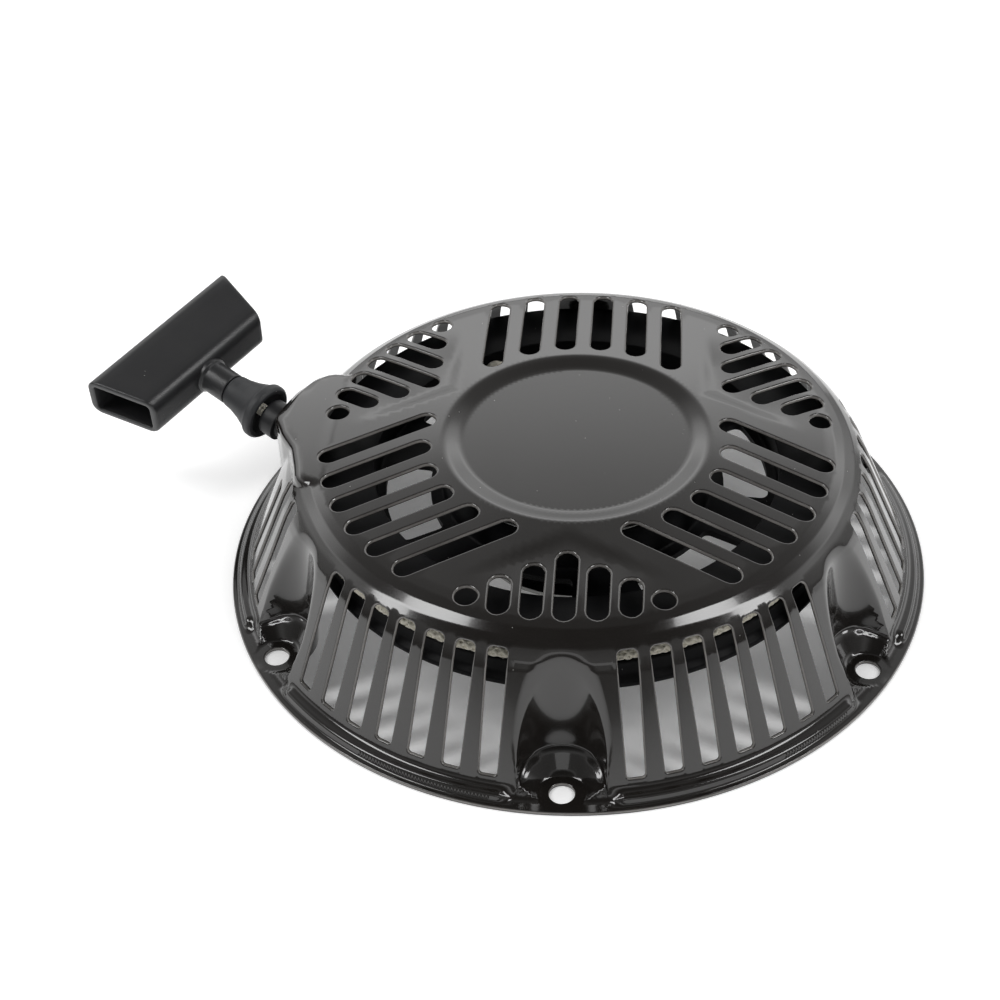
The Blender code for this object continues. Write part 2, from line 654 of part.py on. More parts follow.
def build_grip(parts, cutters, plastic, rubber, steel, rope, outlet):
    inner_rise = GRIP_WALL * (GRIP_FAR_HALF - GRIP_NEAR_HALF) / (GRIP_FAR - GRIP_NEAR)
    outline = [(GRIP_NEAR, -GRIP_NEAR_HALF), (GRIP_FAR, -GRIP_FAR_HALF),
               (GRIP_FAR, GRIP_FAR_HALF), (GRIP_NEAR, GRIP_NEAR_HALF)]
    grip = flat("grip", [outline], -GRIP_HALF_HEIGHT, GRIP_HALF_HEIGHT, parts, parent=outlet)
    grip.data.materials.append(plastic)
    round_edges(grip, 6.4, 5, across_pull)
    hollow_half = GRIP_HALF_HEIGHT - GRIP_WALL
    near, far = GRIP_NEAR + GRIP_WALL, GRIP_FAR - GRIP_WALL
    reach = GRIP_FAR_HALF + inner_rise + 6
    hollow = flat("grip_hollow", [[(near, -reach), (far, -reach), (far, reach), (near, reach)]],
                  -hollow_half, hollow_half, cutters, parent=outlet)
    round_edges(hollow, 4.2, 5, across_pull)
    joined("Hollow", grip, as_cutter(hollow), "DIFFERENCE")
    seat = near + 1.2
    neck = turned("grip_neck", [(0, seat), (NECK_R, seat), (NECK_R, NECK_START),
                                (0, NECK_START)], cutters, parent=outlet, steps=24, along_pull=True)
    joined("Neck", grip, as_cutter(neck), "UNION")
    bore = turned("grip_bore", [(0, seat + 2), (2.9, seat + 2), (2.9, NECK_START - 2),
                                (0, NECK_START - 2)], cutters, parent=outlet, steps=16,
                  along_pull=True)
    joined("Rope bore", grip, as_cutter(bore), "DIFFERENCE")

    boot = [(2.9, 7.0), (2.9, 20.6), (5.6, 20.6), (6.3, 20.0), (6.9, 16.0), (8.0, 12.0), (9.5, 8.0),
            (10.6, 5.2), (10.9, 3.8), (10.4, 2.8), (9.4, 2.6), (8.4, 3.6)]
    turned("grip_boot", boot, parts, rubber, outlet, steps=28, along_pull=True)
    washer = [(2.9, seat + GAP), (2.9, seat + 1.4), (5.0, seat + 1.4), (5.0, seat + GAP)]
    turned("grip_washer", washer, parts, steel, outlet, steps=20, along_pull=True)
    turned("grip_knot", knot_profile(4.4, 5.0, GRIP_KNOT, 8), parts, rope, outlet, steps=16,
           along_pull=True)


def across_pull(first, second):
    """Whether an edge of the grip runs across the pull direction."""
    return abs((first - second).normalized().y) > 0.99


# ---------------------------------------------------------------- build

def main():
    clear_scene()
    parts = make_collection("recoil_starter")
    cutters = make_collection("recoil_starter_cutters")
    paint = make_material("black_paint", (0.022, 0.021, 0.020), 0.22)
    reel_plastic = make_material("reel_plastic", (0.012, 0.012, 0.013), 0.38)
    grip_plastic = make_material("grip_plastic", (0.018, 0.018, 0.020), 0.34)
    rubber = make_material("boot_rubber", (0.014, 0.014, 0.015), 0.62)
    steel = make_material("zinc_steel", (0.56, 0.56, 0.54), 0.34, 1.0)
    spring_steel = make_material("spring_steel", (0.22, 0.22, 0.24), 0.30, 1.0)
    bronze = make_material("bush_bronze", (0.50, 0.34, 0.17), 0.40, 1.0)
    rope = make_material("rope_braid", (0.52, 0.49, 0.42), 0.85)

    outlet = bpy.data.objects.new("rope_outlet", None)
    parts.objects.link(outlet)
    outlet.matrix_world = pull_frame()
    bpy.context.view_layer.update()

    build_cover(parts, cutters, paint, outlet)
    build_rope_guide(parts, steel, outlet)
    build_post(parts, cutters, steel)
    build_reel(parts, cutters, reel_plastic)
    build_small_turned(parts, steel, bronze)
    shank = build_screw(parts, steel)
    parts.objects.unlink(shank)
    cutters.objects.link(as_cutter(shank))
    build_pawls(parts, cutters, steel, spring_steel)
    build_friction_plate(parts, steel, spring_steel)
    build_recoil_spring(parts, spring_steel)
    build_rope(parts, rope, outlet)
    build_grip(parts, cutters, grip_plastic, rubber, steel, rope, outlet)


main()
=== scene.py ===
import math

import bmesh
import bpy
import numpy as np
from mathutils import Matrix, Vector
from mathutils.geometry import delaunay_2d_cdt


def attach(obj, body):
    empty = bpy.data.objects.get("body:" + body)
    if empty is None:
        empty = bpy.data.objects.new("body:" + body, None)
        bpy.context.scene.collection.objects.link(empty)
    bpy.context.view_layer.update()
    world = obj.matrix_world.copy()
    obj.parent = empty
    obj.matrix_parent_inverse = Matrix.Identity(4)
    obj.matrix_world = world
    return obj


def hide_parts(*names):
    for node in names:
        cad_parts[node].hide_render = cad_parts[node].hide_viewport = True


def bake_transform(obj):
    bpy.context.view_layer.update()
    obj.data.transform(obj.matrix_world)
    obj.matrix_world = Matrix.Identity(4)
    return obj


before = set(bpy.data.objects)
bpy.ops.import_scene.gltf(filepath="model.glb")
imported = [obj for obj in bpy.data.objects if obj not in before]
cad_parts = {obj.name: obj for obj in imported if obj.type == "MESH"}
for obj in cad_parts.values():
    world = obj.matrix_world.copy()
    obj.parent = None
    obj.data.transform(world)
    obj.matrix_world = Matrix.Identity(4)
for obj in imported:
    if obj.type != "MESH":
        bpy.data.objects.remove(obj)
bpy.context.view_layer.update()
mm = 0.001
print("stage: frame loaded")


# Camera, light and floor

view = {
    "place": (0.02941, -0.53038, 0.47324),
    "right": (0.99906, 0.04212, -0.01032),
    "up": (-0.01917, 0.64256, 0.76600),
    "back": (0.03889, -0.76508, 0.64276),
    "lens": 68.43,
    "shiftX": -0.084,
    "shiftY": -0.00475,
}

light = {
    "roomStrength": 2.3,
    "floorTone": 0.93,
    "floorGlow": 0.42,
    # glow of the floor under the object, a painted shadow
    "paintedShadowGlow": 0.14,
    "sidePower": 5.0,
    "frontPower": 0.6,
}
# brightness of the room by the sine of elevation, for the far side of the object
roomBands = [(0.0, 0.20), (0.36, 0.55), (0.50, 0.95), (0.58, 0.72), (0.66, 0.30), (0.76, 0.14),
             (1.0, 0.11)]


def makeCamera():
    data = bpy.data.cameras.new("camera")
    data.sensor_width = 36.0
    data.lens = view["lens"]
    data.shift_x = view["shiftX"]
    data.shift_y = view["shiftY"]
    data.clip_start = 0.01
    camera = bpy.data.objects.new("camera", data)
    bpy.context.scene.collection.objects.link(camera)
    turn = Matrix((view["right"], view["up"], view["back"])).transposed()
    camera.matrix_world = Matrix.Translation(view["place"]) @ turn.to_4x4()
    bpy.context.scene.camera = camera


def addPanel(name, place, target, width, height, power):
    data = bpy.data.lights.new(name, "AREA")
    data.shape = "RECTANGLE"
    data.size = width
    data.size_y = height
    data.energy = power
    panel = bpy.data.objects.new(name, data)
    panel.location = place
    aim = Vector(target) - Vector(place)
    panel.rotation_euler = aim.to_track_quat("-Z", "Y").to_euler()
    bpy.context.scene.collection.objects.link(panel)


def makeLight():
    world = bpy.data.worlds.new("studio")
    bpy.context.scene.world = world
    world.use_nodes = True
    tree = world.node_tree
    background = tree.nodes["Background"]
    place = tree.nodes.new("ShaderNodeTexCoord")
    split = tree.nodes.new("ShaderNodeSeparateXYZ")
    ramp = tree.nodes.new("ShaderNodeValToRGB")
    side = tree.nodes.new("ShaderNodeMapRange")
    strength = tree.nodes.new("ShaderNodeMath")
    strength.operation = "MULTIPLY"
    strength.inputs[1].default_value = light["roomStrength"]
    tree.links.new(place.outputs["Generated"], split.inputs[0])
    tree.links.new(split.outputs["Z"], ramp.inputs["Fac"])
    tree.links.new(split.outputs["Y"], side.inputs["Value"])
    side.inputs["From Min"].default_value = -0.2
    side.inputs["From Max"].default_value = 0.5
    side.inputs["To Min"].default_value = 0.22
    tree.links.new(side.outputs["Result"], strength.inputs[0])
    tree.links.new(strength.outputs[0], background.inputs["Strength"])
    tree.links.new(ramp.outputs["Color"], background.inputs["Color"])
    bands = ramp.color_ramp.elements
    for i, (position, grey) in enumerate(roomBands):
        if i >= len(bands):
            bands.new(position)
        bands[i].position = position
        bands[i].color = (grey, grey, grey, 1)
    ramp.color_ramp.interpolation = "EASE"
    middle = (0, 0, 0.03)
    addPanel("leftPanel", (-0.75, -0.22, 0.95), middle, 0.26, 0.7, light["sidePower"])
    addPanel("rightPanel", (0.75, -0.22, 0.95), middle, 0.26, 0.7, light["sidePower"])
    addPanel("frontPanel", (0.0, -1.3, 0.45), middle, 0.9, 0.25, light["frontPower"])
    bpy.context.scene.view_settings.view_transform = "Standard"


def makeFloor():
    size = 6.0
    mesh = bpy.data.meshes.new("floor")
    drop = -0.0002                # a hair under the flange
    corners = [(-size, -size, drop), (size, -size, drop), (size, size, drop),
               (-size, size, drop)]
    mesh.from_pydata(corners, [], [(0, 1, 2, 3)])
    floor = bpy.data.objects.new("floor", mesh)
    bpy.context.scene.collection.objects.link(floor)
    material = bpy.data.materials.new("paleFloor")
    material.use_nodes = True
    tree = material.node_tree
    shader = tree.nodes["Principled BSDF"]
    grain = tree.nodes.new("ShaderNodeTexNoise")
    grain.inputs["Scale"].default_value = 6.0
    tone = tree.nodes.new("ShaderNodeMapRange")
    tone.inputs["To Min"].default_value = light["floorTone"] - 0.01
    tone.inputs["To Max"].default_value = light["floorTone"] + 0.01
    place = tree.nodes.new("ShaderNodeTexCoord")
    tree.links.new(place.outputs["Object"], grain.inputs["Vector"])
    tree.links.new(grain.outputs["Fac"], tone.inputs["Value"])
    tree.links.new(tone.outputs["Result"], shader.inputs["Base Color"])
    shader.inputs["Roughness"].default_value = 0.9
    shader.inputs["Specular IOR Level"].default_value = 0.1
    shader.inputs["Emission Color"].default_value = (1, 1, 1, 1)
    # painted shadow: the floor's glow fades out under the object, a darker floor standing in for the
    # shade of the cover
    away = node(tree, "ShaderNodeVectorMath", {0: place.outputs["Object"]}, operation="LENGTH")
    glow = node(tree, "ShaderNodeMapRange", {"Value": away.outputs["Value"], "From Min": 0.115,
                                             "From Max": 0.132, "To Min": light["paintedShadowGlow"],
                                             "To Max": light["floorGlow"]})
    tree.links.new(glow.outputs["Result"], shader.inputs["Emission Strength"])
    mesh.materials.append(material)




# Shader groups that the materials share

def newGroup(name, inputs, outputs):
    tree = bpy.data.node_groups.new(name, "ShaderNodeTree")
    for label, kind, value in inputs:
        socket = tree.interface.new_socket(label, in_out="INPUT", socket_type=kind)
        socket.default_value = value
    for label, kind in outputs:
        tree.interface.new_socket(label, in_out="OUTPUT", socket_type=kind)
    return tree, tree.nodes.new("NodeGroupInput"), tree.nodes.new("NodeGroupOutput")


def node(tree, kind, values=None, **properties):
    made = tree.nodes.new(kind)
    for name, value in properties.items():
        setattr(made, name, value)
    for name, value in (values or {}).items():
        if isinstance(value, bpy.types.NodeSocket):
            tree.links.new(value, made.inputs[name])
        else:
            made.inputs[name].default_value = value
    return made


def makeSurfaceWear():
    # blotches of roughness, fine grain in the height, and a few dust specks
    tree, given, result = newGroup("surfaceWear", [
        ("Place", "NodeSocketVector", (0, 0, 0)),
        ("Rough", "NodeSocketFloat", 0.3),
        ("Rough Spread", "NodeSocketFloat", 0.1),
        ("Blotch Scale", "NodeSocketFloat", 40.0),
        ("Grain Scale", "NodeSocketFloat", 900.0),
        ("Dust Scale", "NodeSocketFloat", 260.0),
        ("Dust", "NodeSocketFloat", 0.035),
    ], [("Roughness", "NodeSocketFloat"), ("Height", "NodeSocketFloat"),
        ("Dust Mask", "NodeSocketFloat"), ("Blotch", "NodeSocketFloat")])
    blotch = node(tree, "ShaderNodeTexNoise", {"Vector": given.outputs["Place"],
                                               "Scale": given.outputs["Blotch Scale"],
                                               "Detail": 5.0, "Roughness": 0.6})
    centred = node(tree, "ShaderNodeMath", {0: blotch.outputs["Fac"], 1: 0.5},
                   operation="SUBTRACT")
    spread = node(tree, "ShaderNodeMath", {0: centred.outputs[0],
                                           1: given.outputs["Rough Spread"]},
                  operation="MULTIPLY")
    rough = node(tree, "ShaderNodeMath", {0: spread.outputs[0], 1: given.outputs["Rough"]},
                 operation="ADD")
    grain = node(tree, "ShaderNodeTexNoise", {"Vector": given.outputs["Place"],
                                              "Scale": given.outputs["Grain Scale"],
                                              "Detail": 2.0})
    speck = node(tree, "ShaderNodeTexVoronoi", {"Vector": given.outputs["Place"],
                                                "Scale": given.outputs["Dust Scale"]})
    near = node(tree, "ShaderNodeMath", {0: speck.outputs["Distance"],
                                         1: given.outputs["Dust"]}, operation="LESS_THAN")
    tint = node(tree, "ShaderNodeSeparateColor", {0: speck.outputs["Color"]})
    chosen = node(tree, "ShaderNodeMath", {0: tint.outputs[0], 1: 0.72},
                  operation="GREATER_THAN")
    mask = node(tree, "ShaderNodeMath", {0: near.outputs[0], 1: chosen.outputs[0]},
                operation="MULTIPLY")
    tree.links.new(rough.outputs[0], result.inputs["Roughness"])
    tree.links.new(grain.outputs["Fac"], result.inputs["Height"])
    tree.links.new(mask.outputs[0], result.inputs["Dust Mask"])
    tree.links.new(blotch.outputs["Fac"], result.inputs["Blotch"])
    return tree


surfaceWear = makeSurfaceWear()
makeCamera()
makeLight()
makeFloor()
print("stage: camera, light and floor")


def finish(name, dark, bright, metallic=0.0, rough=0.3, roughSpread=0.15, grainScale=900.0,
           bump=0.05, dust=0.035, blotchScale=40.0, coat=0.0, coatRough=0.05, level=0.5,
           sheen=0.0, edge=0.0):
    material = bpy.data.materials.new(name)
    material.use_nodes = True
    tree = material.node_tree
    shader = tree.nodes["Principled BSDF"]
    place = node(tree, "ShaderNodeTexCoord")
    wear = node(tree, "ShaderNodeGroup", {}, node_tree=surfaceWear)
    tree.links.new(place.outputs["Object"], wear.inputs["Place"])
    for label, value in (("Rough", rough), ("Rough Spread", roughSpread), ("Dust", dust),
                         ("Grain Scale", grainScale), ("Blotch Scale", blotchScale)):
        wear.inputs[label].default_value = value
    tone = node(tree, "ShaderNodeMix", {"Factor": wear.outputs["Blotch"]}, data_type="RGBA")
    tone.inputs[6].default_value = (*dark, 1)
    tone.inputs[7].default_value = (*bright, 1)
    dusty = node(tree, "ShaderNodeMix", {"Factor": wear.outputs["Dust Mask"]}, data_type="RGBA")
    tree.links.new(tone.outputs[2], dusty.inputs[6])
    dusty.inputs[7].default_value = (0.5, 0.5, 0.48, 1)
    colour = dusty.outputs[2]
    if edge:
        # painted highlight: a lighter base colour on the rounded slot edges, where the rim attribute is
        # high, in patches after the blotch noise; it stands in for the glint of light on the glossy
        # rounded edges
        rim = node(tree, "ShaderNodeAttribute", attribute_name="rim")
        rimHighlight = node(tree, "ShaderNodeMapRange", {"Value": rim.outputs["Fac"], "From Min": 0.35,
                                                 "From Max": 0.95, "To Max": edge})
        patchy = node(tree, "ShaderNodeMapRange", {"Value": wear.outputs["Blotch"],
                                                   "From Min": 0.3, "From Max": 0.6,
                                                   "To Min": 0.45})
        amount = node(tree, "ShaderNodeMath", {0: rimHighlight.outputs["Result"],
                                               1: patchy.outputs["Result"]}, operation="MULTIPLY")
        highlighted = node(tree, "ShaderNodeMix", {"Factor": amount.outputs[0]}, data_type="RGBA")
        tree.links.new(colour, highlighted.inputs[6])
        # colour of the painted highlight on the slot rims
        highlighted.inputs[7].default_value = (0.42, 0.40, 0.38, 1)
        colour = highlighted.outputs[2]
    tree.links.new(colour, shader.inputs["Base Color"])
    tree.links.new(wear.outputs["Roughness"], shader.inputs["Roughness"])
    relief = node(tree, "ShaderNodeBump", {"Strength": bump, "Distance": 0.0003,
                                           "Height": wear.outputs["Height"]})
    tree.links.new(relief.outputs["Normal"], shader.inputs["Normal"])
    shader.inputs["Metallic"].default_value = metallic
    shader.inputs["Coat Weight"].default_value = coat
    shader.inputs["Coat Roughness"].default_value = coatRough
    shader.inputs["Specular IOR Level"].default_value = level
    shader.inputs["Sheen Weight"].default_value = sheen
    return material


# edge sets the strength of the painted highlight on the slot rims
blackPaint = finish("blackPaint", (0.009, 0.0075, 0.0065), (0.014, 0.0125, 0.0112), rough=0.14,
                    roughSpread=0.06, bump=0.010, grainScale=700.0, coat=0.5, coatRough=0.05,
                    edge=0.55)
reelPlastic = finish("reelPlastic", (0.004, 0.004, 0.0045), (0.007, 0.007, 0.0075), rough=0.46,
                     roughSpread=0.15, bump=0.05, level=0.10)
gripPlastic = finish("gripPlastic", (0.013, 0.013, 0.014), (0.021, 0.021, 0.022), rough=0.36,
                     roughSpread=0.10, bump=0.10, grainScale=1500.0)
bootRubber = finish("bootRubber", (0.015, 0.016, 0.018), (0.025, 0.026, 0.028), rough=0.55,
                    roughSpread=0.12, bump=0.12, grainScale=1200.0)
guideBlack = finish("guideBlack", (0.008, 0.008, 0.009), (0.014, 0.014, 0.015), rough=0.42,
                    roughSpread=0.12, bump=0.06, level=0.3)
zincSteel = finish("zincSteel", (0.42, 0.42, 0.40), (0.64, 0.64, 0.62), metallic=1.0,
                   rough=0.30, roughSpread=0.25, bump=0.04, blotchScale=120.0)
springSteel = finish("springSteel", (0.16, 0.16, 0.18), (0.28, 0.28, 0.31), metallic=1.0,
                     rough=0.26, roughSpread=0.15, bump=0.04, blotchScale=90.0)
bushBronze = finish("bushBronze", (0.42, 0.27, 0.13), (0.58, 0.40, 0.21), metallic=1.0,
                    rough=0.38, roughSpread=0.2, bump=0.08, blotchScale=200.0)
print("stage: materials")


# Small mesh helpers

def roundedPath(corners, steps=6, closed=False):
    count = len(corners)
    path = []
    for i, corner in enumerate(corners):
        here = Vector(corner[:2])
        radius = corner[2] if len(corner) > 2 else 0
        if radius == 0 or (not closed and i in (0, count - 1)):
            path.append(tuple(here))
            continue
        before = Vector(corners[i - 1][:2]) - here
        after = Vector(corners[(i + 1) % count][:2]) - here
        half = before.angle(after) / 2
        cut = min(radius / math.tan(half), 0.49 * before.length, 0.49 * after.length)
        radius = cut * math.tan(half)
        middle = here + (before.normalized() + after.normalized()).normalized() * (
            radius / math.sin(half))
        first = here + before.normalized() * cut - middle
        last = here + after.normalized() * cut - middle
        sweep = first.angle_signed(last)
        for step in range(steps + 1):
            path.append(tuple(middle + Matrix.Rotation(-sweep * step / steps, 2) @ first))
    return path


def newPiece(name, mesh, material):
    piece = bpy.data.objects.new(name, mesh)
    bpy.context.scene.collection.objects.link(piece)
    mesh.materials.clear()
    mesh.materials.append(material)
    return piece


# Where the rope leaves, and the grip's own frame: x along the pull, z up

outlet = Vector((-113.9, 24.5, 42.0))
gripTurn = (Matrix.Rotation(math.radians(146.4), 3, "Z") @ Matrix.Rotation(math.radians(-11.2), 3, "Y")
            @ Matrix.Rotation(math.radians(-9.3), 3, "X"))
pullAlong = gripTurn @ Vector((1, 0, 0))


# Cover: one pressed sheet. Its outer face is where coverField is zero, and every point of
# it is named by its unrolled distance from the centre (reach) and its azimuth.

cover = {
    "sheet": 1.2,
    "flangeRadius": 128.0,
    "boltCircle": 119.5,
    "firstBolt": -90.0,
    "boltHole": 4.2,
    "edgeRound": 0.85,
    "rimRound": 0.55,
    "longSlots": (-33.25, -19.95, -6.65, 6.65, 19.95, 33.25),
    "shortSlots": (-21.5, -10.75, 0.0, 10.75, 21.5),
    "slotHalf": 3.65,
    "skirtPitch": 6.12,
    "skirtBottom": 7.3,
    "skirtTop": 47.4,
    "sideSlotTop": 40.0,
    "panelDepth": 1.0,
    "foldRound": 2.1,
    "crestHeight": 7.8,
    "crestSide": 4.2,
    "lobeRound": 4.0,
}
halfSection = [(-20, 54.5), (41.2, 54.5, 7), (47.0, 56.3, 7), (100.4, 52.9, 19.5)]
ledgeFoot = [(121.65, 3.95, 2.5), (125.0, 3.9, 1.3), (125.9, 1.2, 0.9), (140, 1.2)]
plainFoot = [(122.85, 1.2, 3.0), (140, 1.2)]
pocketSection = [(-20, 1.15), (7.9, 1.15, 1.2), (12.2, 7.8, 1.7), (14.3, 8.5, 1.6), (17.3, 50),
                 (19.0, 75), (-20, 75)]
lobeOutline = [(-84, 38, 2), (-93.5, 40.2, 9), (-100, 36.2, 12), (-105.3, 28.6, 10),
               (-111.4, 13.8, 7), (-107.2, 3.7, 20), (-102.4, -4.7, 14), (-99.9, -14.5, 40),
               (-97.8, -24.8, 30), (-85, -30, 2)]
topEnd, fanLength, slant, skirtHigh, skirtLow, footLength = 92.0, 14.5, 1.09, 46.5, 5.8, 11.0
fanShare = 0.15              # of the foot, where the rays turn from level to straight down
fanEnd = topEnd + fanLength
footStart = fanEnd + (skirtHigh - skirtLow) * slant


def outlineDistance(path, x, y):
    best = np.full(x.shape, 1e9)
    inside = np.zeros(x.shape, bool)
    for (ax, ay), (bx, by) in zip(path, path[1:] + path[:1]):
        dx, dy = bx - ax, by - ay
        share = np.clip(((x - ax) * dx + (y - ay) * dy) / max(dx * dx + dy * dy, 1e-12), 0, 1)
        best = np.minimum(best, np.hypot(x - ax - share * dx, y - ay - share * dy))
        crossed = (ay > y) != (by > y)
        inside ^= crossed & (x < ax + (y - ay) * dx / (dy if dy else 1.0))
    return np.where(inside, -best, best)


def makeField(path, low, high, step):
    # the signed distance to an outline, kept on a grid
    across = low[0] + step * np.arange(int((high[0] - low[0]) / step) + 2)
    upward = low[1] + step * np.arange(int((high[1] - low[1]) / step) + 2)
    grid = outlineDistance(path, *np.meshgrid(across, upward, indexing="ij"))

    def look(x, y):
        u = np.clip((x - low[0]) / step, 0, grid.shape[0] - 1.001)
        v = np.clip((y - low[1]) / step, 0, grid.shape[1] - 1.001)
        i, j = u.astype(int), v.astype(int)
        a, b = u - i, v - j
        near = grid[i, j] * (1 - a) + grid[i + 1, j] * a
        far = grid[i, j + 1] * (1 - a) + grid[i + 1, j + 1] * a
        return near * (1 - b) + far * b

    return look


def ease(low, high, value):
    share = np.clip((value - low) / (high - low), 0, 1)
    return share * share * (3 - 2 * share)


def softMin(a, b, width):
    share = np.clip(0.5 + 0.5 * (b - a) / width, 0, 1)
    return b * (1 - share) + a * share - width * share * (1 - share)


def softMax(a, b, width):
    return -softMin(-a, -b, width)


ledgePath = roundedPath(halfSection + ledgeFoot)
plainPath = roundedPath(halfSection + plainFoot)
bottom = [(140, -20), (-20, -20)]
ledgeField = makeField(ledgePath + bottom, (-3, -3), (136, 62), 0.2)
plainField = makeField(plainPath + bottom, (-3, -3), (136, 62), 0.2)
pocketField = makeField(roundedPath(pocketSection), (-1, -4), (42, 64), 0.2)
lobeField = makeField(roundedPath(lobeOutline, closed=True), (-126, -46), (-72, 56), 0.25)


def panelDrop(x, y):
    # three triangular panels pressed in a little, deepest at their apex
    total = np.zeros(x.shape)
    for axis in (-90, 30, 150):
        cosine, sine = math.cos(math.radians(axis)), math.sin(math.radians(axis))
        along, side = x * cosine + y * sine, np.abs(y * cosine - x * sine)
        width = 4.2 - 0.06 * side
        crease = along - 54.0 - 0.56 * side
        fade = (1 - ease(60, 88, along)) * (1 - ease(12, 36, side))
        total += cover["panelDepth"] * ease(-width, width, crease) * fade
    return total


def coverField(x, y, z):
    radius = np.hypot(x, y)
    azimuth = np.degrees(np.arctan2(y, x))
    offset = (azimuth - cover["firstBolt"] + 30) % 60 - 30
    pressed = z + panelDrop(x, y)
    ledge = ease(6.8, 9.8, np.abs(offset))
    body = ledge * ledgeField(radius, pressed) + (1 - ledge) * plainField(radius, pressed)
    lobeTop = 56.3 - 0.0639 * (radius - 47.2)
    lobe = softMax(lobeField(x, y), z - lobeTop, cover["lobeRound"])
    body = softMin(body, lobe, 0.4)
    inward = cover["boltCircle"] - radius * np.cos(np.radians(offset))
    side = np.abs(radius * np.sin(np.radians(offset)))
    turn = np.degrees(np.arctan2(side, inward))
    high, low = cover["crestHeight"], 1.15
    crest = high + (cover["crestSide"] - high) * ease(25, 95, turn)
    lifted = np.where(z < crest, low + (z - low) * (high - low) / (crest - low), z + high - crest)
    pocket = pocketField(np.hypot(inward, side), lifted)
    width = 0.2 + 0.4 * ease(1.6, 4, z) + (cover["foldRound"] - 0.6) * ease(8, 20, z)
    return softMax(body, -pocket, width)


def castRays(azimuth, startR, startZ, alongR, alongZ, length, steps=40):
    cosine, sine = np.cos(azimuth), np.sin(azimuth)

    def value(distance, chosen):
        radius = startR[chosen] + distance * alongR[chosen]
        height = startZ[chosen] + distance * alongZ[chosen]
        return coverField(radius * cosine[chosen], radius * sine[chosen], height)

    hit = length.copy()
    left = np.arange(len(azimuth))
    for step in range(1, steps):
        distance = length[left] * step / steps
        inside = value(distance, left) < 0
        hit[left[inside]] = distance[inside]
        left = left[~inside]
    everyRay = np.arange(len(azimuth))
    near, far = hit - length / steps, hit.copy()
    for _ in range(16):
        middle = (near + far) / 2
        inside = value(middle, everyRay) < 0
        far = np.where(inside, middle, far)
        near = np.where(inside, near, middle)
    radius, height = startR + far * alongR, startZ + far * alongZ
    return np.stack((radius * cosine, radius * sine, height), -1)


tableAzimuth = np.radians(np.arange(0, 360.01, 0.25))
ones = np.ones(len(tableAzimuth))
footHit = castRays(tableAzimuth, 134 * ones, skirtLow * ones, -ones, 0 * ones, 34 * ones)
footTable = np.hypot(footHit[:, 0], footHit[:, 1])


def footRadius(azimuth):
    return np.interp(np.mod(azimuth, 2 * math.pi), tableAzimuth, footTable)


def coverPoints(reach, azimuth):
    # where the ray that (reach, azimuth) names meets the cover's outer face
    startR, startZ = reach.copy(), np.full(reach.shape, 62.0)
    alongR, alongZ = np.zeros(reach.shape), -np.ones(reach.shape)
    length = np.full(reach.shape, 12.0)
    fan = (reach > topEnd) & (reach < fanEnd)
    angle = np.radians(90 * (1 - (reach[fan] - topEnd) / fanLength))
    alongR[fan], alongZ[fan] = -np.cos(angle), -np.sin(angle)
    startR[fan] = topEnd + 27 * np.cos(angle)
    startZ[fan] = skirtHigh + 27 * np.sin(angle)
    length[fan] = 26.0
    skirt = (reach >= fanEnd) & (reach < footStart)
    startR[skirt], startZ[skirt] = 134.0, skirtHigh - (reach[skirt] - fanEnd) / slant
    alongR[skirt], alongZ[skirt], length[skirt] = -1.0, 0.0, 34.0
    foot = reach >= footStart
    share = (reach[foot] - footStart) / footLength
    inner = footRadius(azimuth[foot])
    span = cover["flangeRadius"] - inner
    turn = np.radians(90 * np.clip(share / fanShare, 0, 1))
    startR[foot] = inner + span * np.maximum(share, fanShare)
    startZ[foot] = skirtLow
    alongR[foot], alongZ[foot], length[foot] = -np.cos(turn), -np.sin(turn), 8.0
    return castRays(azimuth, startR, startZ, alongR, alongZ, length)


def coverNormals(points):
    step = 0.05
    slope = []
    for axis in range(3):
        ahead, behind = points.copy(), points.copy()
        ahead[:, axis] += step
        behind[:, axis] -= step
        slope.append(coverField(*ahead.T) - coverField(*behind.T))
    normal = np.stack(slope, -1)
    return normal / np.linalg.norm(normal, axis=1, keepdims=True)


def reachOf(radius, height, azimuth):
    # the other way round: the reach of a point that lies on the outer face
    if height < skirtLow or (radius > 116 and height < skirtLow + 0.01):
        inner = float(footRadius(azimuth))
        return footStart + footLength * (radius - inner) / (cover["flangeRadius"] - inner)
    if height <= skirtHigh:
        return fanEnd + (skirtHigh - height) * slant
    if radius <= topEnd:
        return radius
    angle = math.degrees(math.atan2(height - skirtHigh, radius - topEnd))
    return topEnd + fanLength * (1 - angle / 90)


sectionR = np.array([point[0] for point in ledgePath])
sectionZ = np.array([point[1] for point in ledgePath])
sectionLength = np.concatenate(([0], np.cumsum(np.hypot(np.diff(sectionR), np.diff(sectionZ)))))


def grow(outline, distance):
    # move every point of a convex outline outwards
    points = np.array(outline)
    ahead, behind = np.roll(points, -1, 0), np.roll(points, 1, 0)
    tangent = ahead - behind
    normal = np.stack((tangent[:, 1], -tangent[:, 0]), -1)
    normal /= np.linalg.norm(normal, axis=1, keepdims=True)
    area = np.sum(points[:, 0] * ahead[:, 1] - ahead[:, 0] * points[:, 1])
    return points + normal * distance * (1 if area > 0 else -1)


def roundSlot(first, last, half, perEnd=9, perSide=5):
    outline = []
    for here, there in ((first, last), (last, first)):
        heading = math.atan2(there[1] - here[1], there[0] - here[0])
        for step in range(perEnd):
            angle = heading + math.pi / 2 + math.pi * step / (perEnd - 1)
            outline.append((here[0] + half * math.cos(angle), here[1] + half * math.sin(angle)))
        side = (here[0] + half * math.sin(heading), here[1] - half * math.cos(heading))
        for step in range(1, perSide):
            share = step / perSide
            outline.append((side[0] + (there[0] - here[0]) * share,
                            side[1] + (there[1] - here[1]) * share))
    return outline


